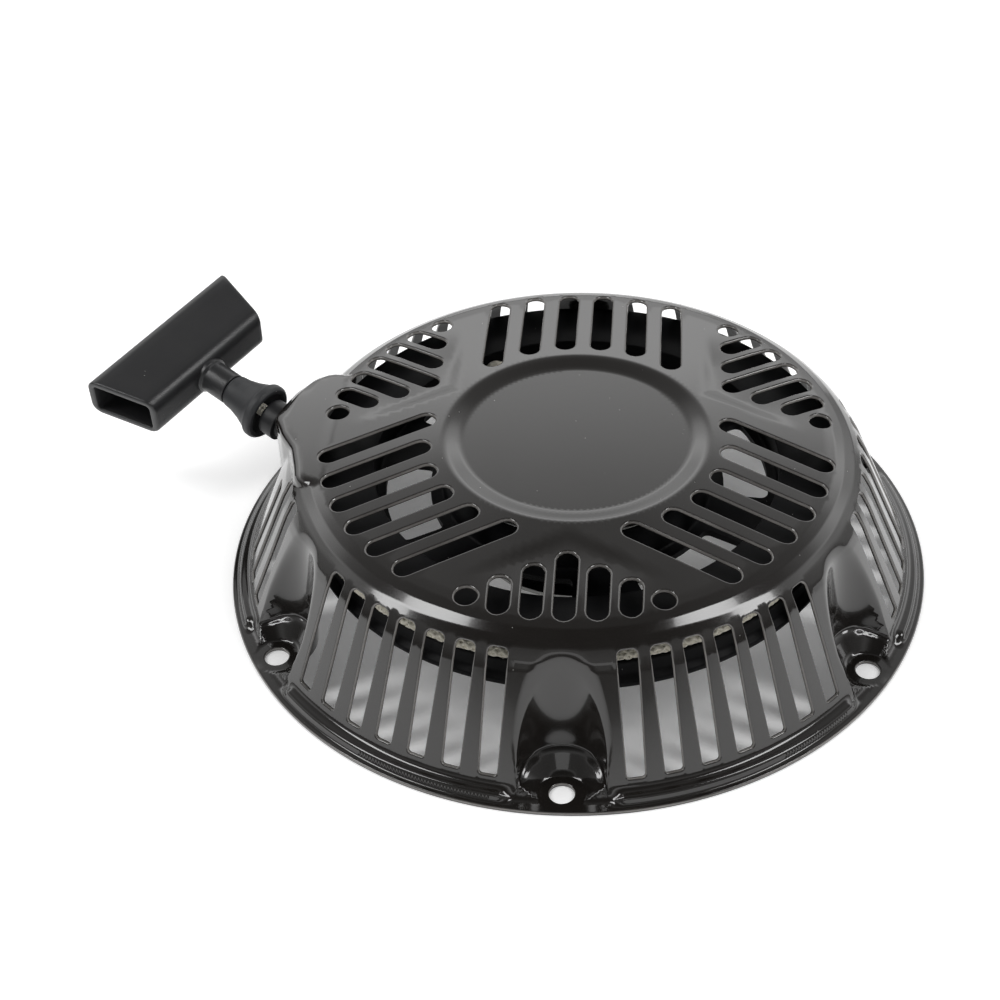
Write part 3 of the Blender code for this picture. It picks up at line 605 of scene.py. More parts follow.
def fromTop(points):
    # plan position to reach and azimuth
    found = []
    for x, y in points:
        radius, azimuth = math.hypot(x, y), math.atan2(y, x)
        height = np.interp(radius, sectionR, sectionZ) if radius < 110 else 0
        found.append((reachOf(radius, height, azimuth), azimuth))
    return np.array(found)


def fromSkirt(middle):
    def convert(points):
        found = []
        for width, length in points:
            radius = np.interp(length, sectionLength, sectionR)
            height = np.interp(length, sectionLength, sectionZ)
            azimuth = middle + width / radius
            found.append((reachOf(radius, height, azimuth), azimuth))
        return np.array(found)
    return convert


def lengthAt(height):
    outer = sectionR > 60
    return float(np.interp(-height, -sectionZ[outer], sectionLength[outer]))


def turnedPoint(along, side, axis):
    angle = math.radians(axis)
    return (along * math.cos(angle) - side * math.sin(angle),
            along * math.sin(angle) + side * math.cos(angle))


def fromRopeHole(points):
    found = []
    sideways = Vector((0, 0, 1)).cross(pullAlong).normalized()
    upward = pullAlong.cross(sideways)
    for a, b in points:
        base = outlet + sideways * a + upward * b
        ahead, behind = 4.0, -16.0
        for step in range(80):
            distance = ahead + (behind - ahead) * step / 80
            x, y, z = base + pullAlong * distance
            if coverField(np.array([x]), np.array([y]), np.array([z]))[0] < 0:
                break
        radius, azimuth = math.hypot(x, y), math.atan2(y, x)
        found.append((reachOf(radius, z, azimuth), azimuth))
    return np.array(found)


def coverHoles():
    # (outline, how its points become reach and azimuth, radius of its edge)
    holes = []
    half, edge = cover["slotHalf"], cover["edgeRound"]
    for axis in (90, 210, 330):
        for side in cover["longSlots"]:
            ends = [math.sqrt(reach ** 2 - side ** 2) for reach in (52.1, 91.2)]
            first = turnedPoint(ends[0] + half, side, axis)
            last = turnedPoint(ends[1] - half, side, axis)
            holes.append((roundSlot(first, last, half), fromTop, edge))
    for axis in (-90, 30, 150):
        for side in cover["shortSlots"]:
            first = turnedPoint(60.9 + 0.56 * abs(side) + half, side, axis)
            last = turnedPoint(math.sqrt(92.4 ** 2 - side ** 2) - half, side, axis)
            holes.append((roundSlot(first, last, half, perSide=3), fromTop, edge))
        for side in (-21.4, 21.4):
            middle = turnedPoint(88.2, 0, axis + side)
            dot = [(middle[0] + 3.9 * math.cos(step * math.pi / 12),
                    middle[1] + 3.9 * math.sin(step * math.pi / 12)) for step in range(24)]
            holes.append((dot, fromTop, edge))
    for sector in range(6):
        for i in range(7):
            azimuth = sector * 60 + (i - 3) * cover["skirtPitch"]
            if 150 < azimuth < 186:
                continue
            top = cover["sideSlotTop"] if 186 < azimuth < 187 else cover["skirtTop"]
            high, low = -lengthAt(top), -lengthAt(cover["skirtBottom"])
            corners = [(-3.05, low, 1.1), (3.05, low, 1.1), (3.4, high, 2.0), (-3.4, high, 2.0)]
            outline = []
            rounded = roundedPath(corners, steps=5, closed=True)
            for here, there in zip(rounded, rounded[1:] + rounded[:1]):
                pieces = max(1, int(math.dist(here, there) / 5.5))
                outline += [(here[0] + (there[0] - here[0]) * k / pieces,
                             here[1] + (there[1] - here[1]) * k / pieces) for k in range(pieces)]
            outline = [(x, -y) for x, y in outline]
            holes.append((outline, fromSkirt(math.radians(azimuth)), edge * 0.8))
    for i in range(6):
        middle = turnedPoint(cover["boltCircle"], 0, cover["firstBolt"] + 60 * i)
        ring = [(middle[0] + cover["boltHole"] * math.cos(step * math.pi / 16),
                 middle[1] + cover["boltHole"] * math.sin(step * math.pi / 16))
                for step in range(32)]
        holes.append((ring, fromTop, 0.5))
    ring = [(5.5 * math.cos(step * math.pi / 14), 5.5 * math.sin(step * math.pi / 14))
            for step in range(28)]
    holes.append((ring, fromRopeHole, 0.5))
    return holes


def flatten(reach, azimuth):
    return np.stack((reach * np.cos(azimuth), reach * np.sin(azimuth)), -1)


def fillPoints(rows, nearBolts):
    # a polar net of points, closer near the bolts when nearBolts is below one
    found = []
    for row, (reach, across) in enumerate(rows):
        plain = across / max(reach, across)
        azimuth, end = 0.5 * plain * (row % 2), 2 * math.pi
        while azimuth < end - plain * 0.4:
            found.append((reach, azimuth))
            offset = abs((math.degrees(azimuth) - cover["firstBolt"] + 30) % 60 - 30)
            azimuth += plain * (nearBolts if offset < 11 and reach > fanEnd - 3 else 1)
    return np.array(found)


def netRows(limits):
    rows = []
    for first, last, step, across in limits:
        count = max(1, int(round((last - first) / step)))
        rows += [(first + (last - first) * i / count, across) for i in range(count)]
    return rows


def sheetMesh(holes, ringShares, rows, nearBolts, edgeSteps):
    # triangulates the unrolled sheet with its holes; each point keeps its reach and azimuth,
    # the depth of the edge rounding there, its lean into the hole, its loop and its ring
    places, marks, edges, borders = [], [], [], []

    def addRing(points, radius, share, loopNumber, ringNumber):
        start, count = len(places), len(points)
        lean = max(0.0, 1 - share)
        places.extend(points.tolist())
        marks.extend([(radius * (1 - math.sqrt(1 - lean ** 2)), lean, loopNumber, ringNumber)] * count)
        edges.extend((start + i, start + (i + 1) % count) for i in range(count))

    for number, (outline, convert, radius) in enumerate(holes):
        for ringNumber, share in enumerate(ringShares):
            out = radius * min(share, 1) + 0.7 * max(share - 1, 0)
            points = convert(grow(outline, out))
            addRing(points, radius, share, number, ringNumber)
        borders.append(flatten(points[:, 0], points[:, 1]))
    azimuth = np.linspace(0, 2 * math.pi, edgeSteps, endpoint=False)
    for ringNumber, share in enumerate(ringShares):
        radius = cover["flangeRadius"] - cover["rimRound"] * min(share, 1) - 0.4 * max(share - 1, 0)
        inner = footRadius(azimuth)
        reach = footStart + footLength * (radius - inner) / (cover["flangeRadius"] - inner)
        addRing(np.stack((reach, azimuth), -1), cover["rimRound"], share, len(holes), ringNumber)
    fill = fillPoints(rows, nearBolts)
    flat = flatten(fill[:, 0], fill[:, 1])
    keep = np.ones(len(fill), bool)
    margin = 0.7
    for border in borders:
        low, high = border.min(0) - margin, border.max(0) + margin
        near = np.where(keep & np.all((flat > low) & (flat < high), axis=1))[0]
        if len(near):
            away = outlineDistance([tuple(p) for p in border], flat[near, 0], flat[near, 1])
            keep[near[away < margin]] = False
    places.extend(fill[keep].tolist())
    marks.extend([(0.0, 0.0, -1, 9)] * int(keep.sum()))
    places, marks = np.array(places), np.array(marks)
    flat = flatten(places[:, 0], places[:, 1])
    result = delaunay_2d_cdt([Vector(p) for p in flat], edges, [], 0, 1e-5, True)
    source = [ids[0] for ids in result[3]]
    triangles = np.array([[source[i] for i in face] for face in result[2]])
    loops, rings = marks[triangles, 2], marks[triangles, 3]
    filled = np.all(rings == 0, axis=1) & (loops[:, 0] >= 0) & (loops[:, 0] < len(holes))
    filled &= (loops[:, 0] == loops[:, 1]) & (loops[:, 1] == loops[:, 2])
    return places, marks, triangles[~filled]


def buildCover():
    holes = coverHoles()
    rows = netRows([(2.4, 39, 2.6, 3.0), (39, 49.5, 0.9, 2.2), (49.5, 86, 1.9, 2.4),
                    (86, fanEnd, 1.25, 1.8), (fanEnd, footStart, 1.45, 1.8),
                    (footStart, footStart + footLength - 1.0, 0.62, 1.5)])
    places, marks, faces = sheetMesh(holes, (0.0, 0.13, 0.42, 0.74, 1.0, 1.9), rows, 0.5, 600)
    base = coverPoints(places[:, 0], places[:, 1])
    normal = coverNormals(base)
    lean = np.zeros(base.shape)
    for number in range(len(holes) + 1):
        ringPoints = [np.where((marks[:, 2] == number) & (marks[:, 3] == k))[0] for k in range(6)]
        into = base[ringPoints[0]] - base[ringPoints[5]]
        for chosen in ringPoints:
            lean[chosen] = into
    lean -= normal * np.sum(lean * normal, 1, keepdims=True)
    lean /= np.maximum(np.linalg.norm(lean, axis=1, keepdims=True), 1e-9)
    outer = base - normal * marks[:, :1]
    outerNormal = normal * np.sqrt(1 - marks[:, 1:2] ** 2) + lean * marks[:, 1:2]

    rows = netRows([(3, 40, 6, 6), (40, 49, 1.8, 4), (49, topEnd, 4, 4.5),
                    (topEnd, fanEnd, 2.4, 3.5), (fanEnd, footStart, 3.6, 3.6),
                    (footStart, footStart + footLength - 1.0, 1.5, 3)])
    innerPlaces, innerMarks, innerFaces = sheetMesh(holes, (0.0,), rows, 0.5, 600)
    innerBase = coverPoints(innerPlaces[:, 0], innerPlaces[:, 1])
    innerNormal = coverNormals(innerBase)
    inner = innerBase - innerNormal * cover["sheet"]
    first = len(outer)
    walls = []
    for number in range(len(holes) + 1):
        top = np.where((marks[:, 2] == number) & (marks[:, 3] == 0))[0]
        low = np.where((innerMarks[:, 2] == number) & (innerMarks[:, 3] == 0))[0]
        for i in range(len(top)):
            j = (i + 1) % len(top)
            corners = [top[i], top[j], first + low[j], first + low[i]]
            across = np.cross(outer[top[j]] - outer[top[i]], inner[low[i]] - outer[top[i]])
            if across @ lean[top[i]] < 0:
                corners.reverse()
            walls += [corners[:3], [corners[0], corners[2], corners[3]]]
    points = np.concatenate((outer, inner))
    points[:, 2] = np.maximum(points[:, 2], 0)
    stretch = np.minimum(1, cover["flangeRadius"] / np.maximum(np.hypot(points[:, 0], points[:, 1]), 1))
    points[:, :2] *= stretch[:, None]
    walls = np.array(walls)
    allFaces = np.concatenate((faces, innerFaces[:, ::-1] + first, walls))
    mesh = bpy.data.meshes.new("coverShell")
    mesh.from_pydata((points * mm).tolist(), [], allFaces.tolist())
    wallNormal = np.concatenate((lean, np.zeros(inner.shape)))
    for number in range(len(holes) + 1):
        top = np.where((marks[:, 2] == number) & (marks[:, 3] == 0))[0]
        low = np.where((innerMarks[:, 2] == number) & (innerMarks[:, 3] == 0))[0]
        wallNormal[first + low] = lean[top]
    corner = np.concatenate((outerNormal[faces].reshape(-1, 3),
                             -innerNormal[innerFaces[:, ::-1]].reshape(-1, 3),
                             wallNormal[walls].reshape(-1, 3)))
    mesh.polygons.foreach_set("use_smooth", np.ones(len(allFaces), bool))
    mesh.normals_split_custom_set(corner.tolist())
    rim = mesh.attributes.new("rim", "FLOAT", "POINT")
    rim.data.foreach_set("value", np.concatenate((marks[:, 1], np.zeros(len(inner)))))
    piece = newPiece("coverShell", mesh, blackPaint)
    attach(piece, "housing")
    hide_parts("cover")
    print("stage: cover,", len(allFaces), "triangles")


buildCover()


# Turned pieces

def turnedMesh(name, profile, steps=96, alongPull=False):
    # profile: (radius, height) points of a closed section, or an open one that ends on the axis
    closed = profile[0][0] > 0 or profile[-1][0] > 0
    build = bmesh.new()
    rings = []
    for radius, height in profile:
        count = 1 if radius == 0 else steps
        rings.append([build.verts.new((radius * mm * math.cos(2 * math.pi * i / steps),
                                       radius * mm * math.sin(2 * math.pi * i / steps),
                                       height * mm)) for i in range(count)])
    pairs = list(zip(rings, rings[1:] + rings[:1]))
    for first, second in pairs if closed else pairs[:-1]:
        for i in range(steps):
            j = (i + 1) % steps
            corners = [first[i % len(first)], first[j % len(first)],
                       second[j % len(second)], second[i % len(second)]]
            corners = list(dict.fromkeys(corners))
            if len(corners) > 2:
                build.faces.new(corners)
    bmesh.ops.recalc_face_normals(build, faces=build.faces)
    mesh = bpy.data.meshes.new(name)
    build.to_mesh(mesh)
    build.free()
    if alongPull:
        mesh.transform(pullFrame @ Matrix.Rotation(math.radians(90), 4, "Y"))
    smooth(mesh)
    return mesh


def smooth(mesh, degrees=38):
    mesh.polygons.foreach_set("use_smooth", np.ones(len(mesh.polygons), bool))
    mesh.set_sharp_from_angle(angle=math.radians(degrees))


def place(name, mesh, material, body, nodes, slot):
    piece = newPiece(name, mesh, material)
    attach(piece, body)
    if nodes:
        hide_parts(*nodes)
    return piece


# Grip, boot and rope guide, in the grip's own frame

grip = {
    "highest": 66.5,
    "near": 32.2,            # along the pull, from the outlet
    "far": 59.9,
    "nearHalf": 28.5,
    "farHalf": 35.75,
    "halfHeight": 8.85,
    "wall": 2.5,
    "outerRound": 4.4,
    "innerRound": 1.5,
    "rimRound": 0.9,
    "neckRadius": 6.1,
    "neckStart": 20.9,
}
pullFrame = Matrix.Translation(outlet * mm) @ gripTurn.to_4x4()


def gripLoop(inset, radius, perSide):
    # section across the grip, drawn in by inset
    near, far = grip["near"] + inset, grip["far"] - inset
    high = grip["halfHeight"] - inset
    corners = [(near, -high, radius), (far, -high, radius), (far, high, radius),
               (near, high, radius)]
    rounded = roundedPath(corners, steps=6, closed=True)
    loop = []
    for here, there in zip(rounded, rounded[1:] + rounded[:1]):
        pieces = perSide if math.dist(here, there) > 4 else 1
        loop += [(here[0] + (there[0] - here[0]) * k / pieces,
                  here[1] + (there[1] - here[1]) * k / pieces) for k in range(pieces)]
    return loop


def gripHalf(along):
    share = (along - grip["near"]) / (grip["far"] - grip["near"])
    return grip["nearHalf"] + share * (grip["farHalf"] - grip["nearHalf"])


def buildGrip():
    wall, rim = grip["wall"], grip["rimRound"]
    outer = gripLoop(0, grip["outerRound"], 6)
    stations = []                # (inset, distance kept from the end, side of the grip)
    for side in (-1, 1):
        end = []
        for step in range(5):
            angle = math.pi / 2 * step / 4
            end.append((rim * (1 - math.cos(angle)), rim * (1 - math.sin(angle)), side))
        for step in range(4):
            angle = math.pi / 2 * step / 3
            end.append((wall - 0.5 + 0.5 * math.sin(angle), 0.5 * (1 - math.cos(angle)), side))
        stations.append(end)
    middles = [(0, None, share) for share in np.linspace(-0.97, 0.97, 15)]
    inside = [(wall, None, share) for share in np.linspace(0.95, -0.95, 9)]
    order = middles + stations[1] + inside + stations[0][::-1]
    build = bmesh.new()
    rings = []
    for inset, gap, side in order:
        radius = max(grip["innerRound"], grip["outerRound"] - inset * 1.16)
        ring = []
        for x, z in gripLoop(inset, radius, 6):
            half = gripHalf(x)
            reach = side * (half - 1.2) if gap is None else side * (half - gap)
            point = pullFrame @ (Vector((x, reach, z)) * mm)
            point.z = min(point.z, grip["highest"] * mm)
            ring.append(build.verts.new(point))
        rings.append(ring)
    count = len(outer)
    for first, second in zip(rings, rings[1:] + rings[:1]):
        for i in range(count):
            j = (i + 1) % count
            build.faces.new((first[i], first[j], second[j], second[i]))
    bmesh.ops.recalc_face_normals(build, faces=build.faces)
    mesh = bpy.data.meshes.new("gripShell")
    build.to_mesh(mesh)
    build.free()
    smooth(mesh)
    place("gripShell", mesh, gripPlastic, "grip", ["grip"], "grip_plastic")
    neck = grip["neckRadius"]
    start = grip["neckStart"]
    profile = roundedPath([(2.9, start, 0.3), (neck, start, 0.5), (neck, 30.7, 0.6),
                           (neck + 0.9, 31.4, 0.5), (neck + 0.9, 34.3, 0.2), (2.9, 34.3, 0.2)],
                          steps=4, closed=True)
    mesh = turnedMesh("gripNeck", profile, 72, alongPull=True)
    place("gripNeck", mesh, gripPlastic, "grip", ["grip"], "grip_plastic")


def buildBoot():
    profile = roundedPath([(2.9, 7.2, 0.4), (2.9, 20.6, 0.4), (5.7, 20.6, 0.4), (6.35, 19.6, 0.7),
                           (6.7, 16.4, 9), (7.8, 12.2, 12), (9.6, 7.6, 6), (10.85, 5.9, 0.9),
                           (10.9, 3.7, 1.3), (9.9, 2.6, 0.7), (8.6, 2.7, 0.4), (8.1, 4.0, 0.5)],
                          steps=5, closed=True)
    mesh = turnedMesh("bootSleeve", profile, 96, alongPull=True)
    place("bootSleeve", mesh, bootRubber, "grip", ["grip_boot"], "boot_rubber")


def buildGuide():
    collar = roundedPath([(4.3, -11.4, 0.2), (4.3, 0.9, 0.3), (5.4, 2.0, 0.7), (6.9, 1.6, 0.9),
                          (7.0, -4.6, 0.4), (5.3, -5.0, 0.2), (5.3, -10.1, 0.1), (6.3, -10.3, 0.1),
                          (6.3, -11.5, 0.3)], steps=5, closed=True)
    mesh = turnedMesh("guideCollar", collar, 64, alongPull=True)
    place("guideCollar", mesh, guideBlack, "housing", ["rope_guide"], "black_paint")
    liner = roundedPath([(3.4, -8.6, 0.2), (3.4, 1.2, 0.4), (3.9, 2.2, 0.5), (5.2, 2.2, 0.2),
                         (4.2, 1.2, 0.2), (4.2, -9.2, 0.1)], steps=4, closed=True)
    mesh = turnedMesh("guideLiner", liner, 64, alongPull=True)
    place("guideLiner", mesh, springSteel, "housing", ["rope_guide"], "zinc_steel")


buildGrip()
buildBoot()
buildGuide()
print("stage: grip, boot and guide")


# Rope: a braid of Geometry Nodes strands on the reel, and a smooth run through the guide

rope = {
    "radius": 2.4,
    "height": 38.2,
    "outerTurn": 95.0,
    "pitch": 5.4,
    "turns": 2.72,
    "braidedTurns": 1.12,
    "strandPitch": 12.5,
    "strandRadius": 0.8,
    "strandCount": 4,
    "strandStep": 0.8,
    "bendStart": 14.0,
    "knotReach": 37.7,
}
ropeCorner = outlet - pullAlong * rope["bendStart"]
leaveAngle = math.atan2(ropeCorner.y, ropeCorner.x) + math.acos(
    rope["outerTurn"] / math.hypot(ropeCorner.x, ropeCorner.y))


def braidFinish(name, mapped):
    # cream fibres with a few dark flecks; mapped gives the place where they are read
    material = bpy.data.materials.new(name)
    material.use_nodes = True
    tree = material.node_tree
    shader = tree.nodes["Principled BSDF"]
    source = mapped(tree)
    fibre = node(tree, "ShaderNodeTexNoise", {"Vector": source, "Scale": 1.6, "Detail": 3.0})
    blotch = node(tree, "ShaderNodeTexNoise", {"Vector": source, "Scale": 0.35, "Detail": 2.0})
    fleck = node(tree, "ShaderNodeTexVoronoi", {"Vector": source, "Scale": 0.55})
    dark = node(tree, "ShaderNodeMath", {0: fleck.outputs["Distance"], 1: 0.17},
                operation="LESS_THAN")
    base = node(tree, "ShaderNodeMix", {"Factor": fibre.outputs["Fac"]}, data_type="RGBA")
    base.inputs[6].default_value = (0.52, 0.48, 0.37, 1)
    base.inputs[7].default_value = (0.86, 0.83, 0.73, 1)
    worn = node(tree, "ShaderNodeMix", {"Factor": dark.outputs[0]}, data_type="RGBA")
    tree.links.new(base.outputs[2], worn.inputs[6])
    worn.inputs[7].default_value = (0.26, 0.25, 0.18, 1)
    tree.links.new(worn.outputs[2], shader.inputs["Base Color"])
    rough = node(tree, "ShaderNodeMapRange", {"Value": blotch.outputs["Fac"], "To Min": 0.55,
                                              "To Max": 0.85})
    tree.links.new(rough.outputs["Result"], shader.inputs["Roughness"])
    relief = node(tree, "ShaderNodeBump", {"Strength": 0.4, "Distance": 0.0002,
                                           "Height": fibre.outputs["Fac"]})
    tree.links.new(relief.outputs["Normal"], shader.inputs["Normal"])
    shader.inputs["Sheen Weight"].default_value = 0.3
    return material, tree, shader, relief


def objectMillimetres(tree):
    coordinates = node(tree, "ShaderNodeTexCoord")
    scaled = node(tree, "ShaderNodeVectorMath", {0: coordinates.outputs["Object"],
                                                 1: (1000, 1000, 1000)}, operation="MULTIPLY")
    return scaled.outputs[0]


strandFinish = braidFinish("ropeStrands", objectMillimetres)[0]


def alongPull(tree):
    # x along the rope's run outside the guide, measured in millimetres from the outlet
    coordinates = node(tree, "ShaderNodeTexCoord")
    turned = node(tree, "ShaderNodeMapping", {"Vector": coordinates.outputs["Object"]})
    turned.vector_type = "TEXTURE"
    turned.inputs["Location"].default_value = outlet * mm
    turned.inputs["Rotation"].default_value = gripTurn.to_euler()
    turned.inputs["Scale"].default_value = (mm, mm, mm)
    return turned.outputs[0]


def makeRunFinish():
    material, tree, shader, relief = braidFinish("ropeRun", alongPull)
    turned = next(item for item in tree.nodes if item.bl_idname == "ShaderNodeMapping")
    split = node(tree, "ShaderNodeSeparateXYZ", {0: turned.outputs[0]})
    angle = node(tree, "ShaderNodeMath", {0: split.outputs["Y"], 1: split.outputs["Z"]},
                 operation="ARCTAN2")
    waves = []
    for sign in (1, -1):
        twist = node(tree, "ShaderNodeMath", {0: split.outputs["X"],
                                              1: sign * 2 * math.pi * rope["strandCount"]
                                              / rope["strandPitch"]}, operation="MULTIPLY")
        around = node(tree, "ShaderNodeMath", {0: angle.outputs[0], 1: rope["strandCount"]},
                      operation="MULTIPLY")
        total = node(tree, "ShaderNodeMath", {0: twist.outputs[0], 1: around.outputs[0]},
                     operation="ADD")
        waves.append(node(tree, "ShaderNodeMath", {0: total.outputs[0]}, operation="COSINE"))
    lump = node(tree, "ShaderNodeMath", {0: waves[0].outputs[0], 1: waves[1].outputs[0]},
                operation="MULTIPLY")
    weave = node(tree, "ShaderNodeBump", {"Strength": 0.9, "Distance": 0.0006,
                                          "Height": lump.outputs[0],
                                          "Normal": relief.outputs["Normal"]})
    tree.links.new(weave.outputs["Normal"], shader.inputs["Normal"])
    return material


runFinish = makeRunFinish()


def newTree(name, inputs):
    tree = bpy.data.node_groups.new(name, "GeometryNodeTree")
    tree.interface.new_socket("Geometry", in_out="OUTPUT", socket_type="NodeSocketGeometry")
    for label, value in inputs.items():
        kind = "NodeSocketInt" if isinstance(value, int) else "NodeSocketFloat"
        socket = tree.interface.new_socket(label, in_out="INPUT", socket_type=kind)
        socket.default_value = value
    return tree, tree.nodes.new("NodeGroupInput"), tree.nodes.new("NodeGroupOutput")


def endTree(tree, result, geometry, material):
    solid = node(tree, "GeometryNodeRealizeInstances", {0: geometry})
    shaded = node(tree, "GeometryNodeSetShadeSmooth", {0: solid.outputs[0]})
    finished = node(tree, "GeometryNodeSetMaterial", {0: shaded.outputs[0]})
    finished.inputs["Material"].default_value = material
    tree.links.new(finished.outputs[0], result.inputs[0])


def growPiece(name, tree, inputs, material, move=None, path=()):
    # runs the tree once and keeps its result as a plain mesh
    source = bpy.data.meshes.new(name + "Source")
    source.from_pydata([Vector(point) * mm for point in path],
                       [(i, i + 1) for i in range(len(path) - 1)], [])
    holder = bpy.data.objects.new(name + "Source", source)
    bpy.context.scene.collection.objects.link(holder)
    modifier = holder.modifiers.new("grow", "NODES")
    modifier.node_group = tree
    for item in tree.interface.items_tree:
        if item.in_out == "INPUT" and item.name in inputs:
            modifier[item.identifier] = inputs[item.name]
    depsgraph = bpy.context.evaluated_depsgraph_get()
    mesh = bpy.data.meshes.new_from_object(holder.evaluated_get(depsgraph))
    holder.modifiers.remove(modifier)
    bpy.data.objects.remove(holder)
    mesh.name = name
    if move:
        mesh.transform(move)
    if not mesh.materials:
        mesh.materials.append(material)
    return mesh


def maths(tree, operation, first, second=None, third=None):
    values = {0: first}
    if second is not None:
        values[1] = second
    if third is not None:
        values[2] = third
    return node(tree, "ShaderNodeMath", values, operation=operation).outputs[0]


def braidTree():
    # strands that wind both ways round a flat spiral, weaving over and under
    inputs = {"Radius": rope["outerTurn"] * mm, "Pitch": rope["pitch"] * mm,
              "Turns": rope["turns"], "Braided Turns": rope["braidedTurns"],
              "Strand Pitch": rope["strandPitch"] * mm, "Strand Radius": rope["strandRadius"] * mm,
              "Strand Count": rope["strandCount"], "Strand Step": rope["strandStep"] * mm,
              "Rope Radius": rope["radius"] * mm, "Height": rope["height"] * mm}
    tree, given, result = newTree("ropeBraid", inputs)
    value = given.outputs

    def spiral(turns, resolution):
        drop = maths(tree, "MULTIPLY", turns, value["Pitch"])
        end = maths(tree, "SUBTRACT", value["Radius"], drop)
        return node(tree, "GeometryNodeCurveSpiral", {
            "Resolution": resolution, "Rotations": turns, "Start Radius": value["Radius"],
            "End Radius": end, "Height": 0.0, "Reverse": True}).outputs[0]

    path = spiral(value["Braided Turns"], 90)
    even = node(tree, "GeometryNodeResampleCurve", {"Curve": path}, mode="LENGTH")
    tree.links.new(value["Strand Step"], even.inputs["Length"])
    count = maths(tree, "MULTIPLY", value["Strand Count"], 2.0)
    many = node(tree, "GeometryNodeDuplicateElements", {"Geometry": even.outputs[0],
                                                        "Amount": count}, domain="SPLINE")
    index = many.outputs["Duplicate Index"]
    length = node(tree, "GeometryNodeSplineParameter").outputs["Length"]
    back = maths(tree, "GREATER_THAN", index, maths(tree, "SUBTRACT", value["Strand Count"], 0.5))
    sign = maths(tree, "MULTIPLY_ADD", back, -2.0, 1.0)
    turn = maths(tree, "DIVIDE", maths(tree, "MULTIPLY", length, 2 * math.pi),
                 value["Strand Pitch"])
    start = maths(tree, "DIVIDE", maths(tree, "MULTIPLY", index, 2 * math.pi),
                  value["Strand Count"])
    angle = maths(tree, "ADD", maths(tree, "MULTIPLY", turn, sign), start)
    weave = maths(tree, "COSINE", maths(tree, "ADD", maths(tree, "MULTIPLY", turn, 4.0),
                                        maths(tree, "MULTIPLY", index, math.pi)))
    lift = maths(tree, "MULTIPLY", maths(tree, "MULTIPLY", weave, sign), 0.22 * mm)
    middle = maths(tree, "SUBTRACT", value["Rope Radius"], maths(
        tree, "ADD", value["Strand Radius"], 0.08 * mm))
    reach = maths(tree, "ADD", middle, maths(tree, "MINIMUM", lift, 0.06 * mm))
    position = node(tree, "GeometryNodeInputPosition").outputs[0]
    outward = node(tree, "ShaderNodeVectorMath", {0: position}, operation="NORMALIZE").outputs[0]
    level = node(tree, "ShaderNodeVectorMath", {0: outward, "Scale": maths(
        tree, "MULTIPLY", reach, maths(tree, "COSINE", angle))}, operation="SCALE")
    upright = node(tree, "ShaderNodeCombineXYZ", {"Z": maths(tree, "MULTIPLY", reach, maths(
        tree, "SINE", angle))})
    offset = node(tree, "ShaderNodeVectorMath", {0: level.outputs[0], 1: upright.outputs[0]},
                  operation="ADD")
    strands = node(tree, "GeometryNodeSetPosition", {"Geometry": many.outputs[0],
                                                     "Offset": offset.outputs[0]})
    section = node(tree, "GeometryNodeCurvePrimitiveCircle", {"Resolution": 5,
                                                              "Radius": value["Strand Radius"]})
    outer = node(tree, "GeometryNodeCurveToMesh", {"Curve": strands.outputs[0],
                                                   "Profile Curve": section.outputs[0],
                                                   "Fill Caps": True})
    core = node(tree, "GeometryNodeCurveToMesh", {
        "Curve": spiral(value["Turns"], 100), "Fill Caps": True,
        "Profile Curve": node(tree, "GeometryNodeCurvePrimitiveCircle", {
            "Resolution": 14, "Radius": maths(tree, "MULTIPLY", value["Rope Radius"], 0.66)}
        ).outputs[0]})
    both = node(tree, "GeometryNodeJoinGeometry")
    tree.links.new(outer.outputs[0], both.inputs[0])
    tree.links.new(core.outputs[0], both.inputs[0])
    raised = node(tree, "GeometryNodeTransform", {"Geometry": both.outputs[0]})
    height = node(tree, "ShaderNodeCombineXYZ", {"Z": value["Height"]})
    tree.links.new(height.outputs[0], raised.inputs["Translation"])
    endTree(tree, result, raised.outputs[0], strandFinish)
    return tree, inputs


def buildRope():
    tree, inputs = braidTree()
    mesh = growPiece("ropeOnReel", tree, inputs, strandFinish,
                     Matrix.Rotation(leaveAngle, 4, "Z"))
    place("ropeOnReel", mesh, strandFinish, "reel", ["rope_wound"], "rope_braid")

    tangent = Vector((rope["outerTurn"] * math.cos(leaveAngle),
                      rope["outerTurn"] * math.sin(leaveAngle), rope["height"]))
    run = (ropeCorner - tangent).normalized()
    bendIn, bendOut = ropeCorner - run * 7.0, ropeCorner + pullAlong * 7.5
    path = [tangent + (bendIn - tangent) * i / 6 for i in range(6)]
    for i in range(13):
        share = i / 12
        path.append((1 - share) ** 2 * bendIn + 2 * share * (1 - share) * ropeCorner
                    + share ** 2 * bendOut)
    first = (bendOut - outlet).dot(pullAlong)
    path += [outlet + pullAlong * reach
             for reach in np.linspace(first + 0.5, rope["knotReach"], 90)]
    build = bmesh.new()
    rings = []
    across = Vector((0, 0, 1))
    for i, point in enumerate(path):
        ahead, behind = path[min(i + 1, len(path) - 1)], path[max(i - 1, 0)]
        heading = (ahead - behind).normalized()
        sideways = heading.cross(across).normalized()
        upward = sideways.cross(heading)
        rings.append([build.verts.new((point + (sideways * math.cos(k * math.pi / 12)
                                                + upward * math.sin(k * math.pi / 12))
                                       * rope["radius"]) * mm) for k in range(24)])
    for first, second in zip(rings, rings[1:]):
        for k in range(24):
            build.faces.new((first[k], first[(k + 1) % 24], second[(k + 1) % 24], second[k]))
    build.faces.new(rings[0])
    build.faces.new(rings[-1])
    bmesh.ops.recalc_face_normals(build, faces=build.faces)
    mesh = bpy.data.meshes.new("pullRope")
    build.to_mesh(mesh)
    build.free()
    smooth(mesh, 60)
    piece = newPiece("pullRope", mesh, runFinish)
    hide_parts("rope_lead")
    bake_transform(piece)


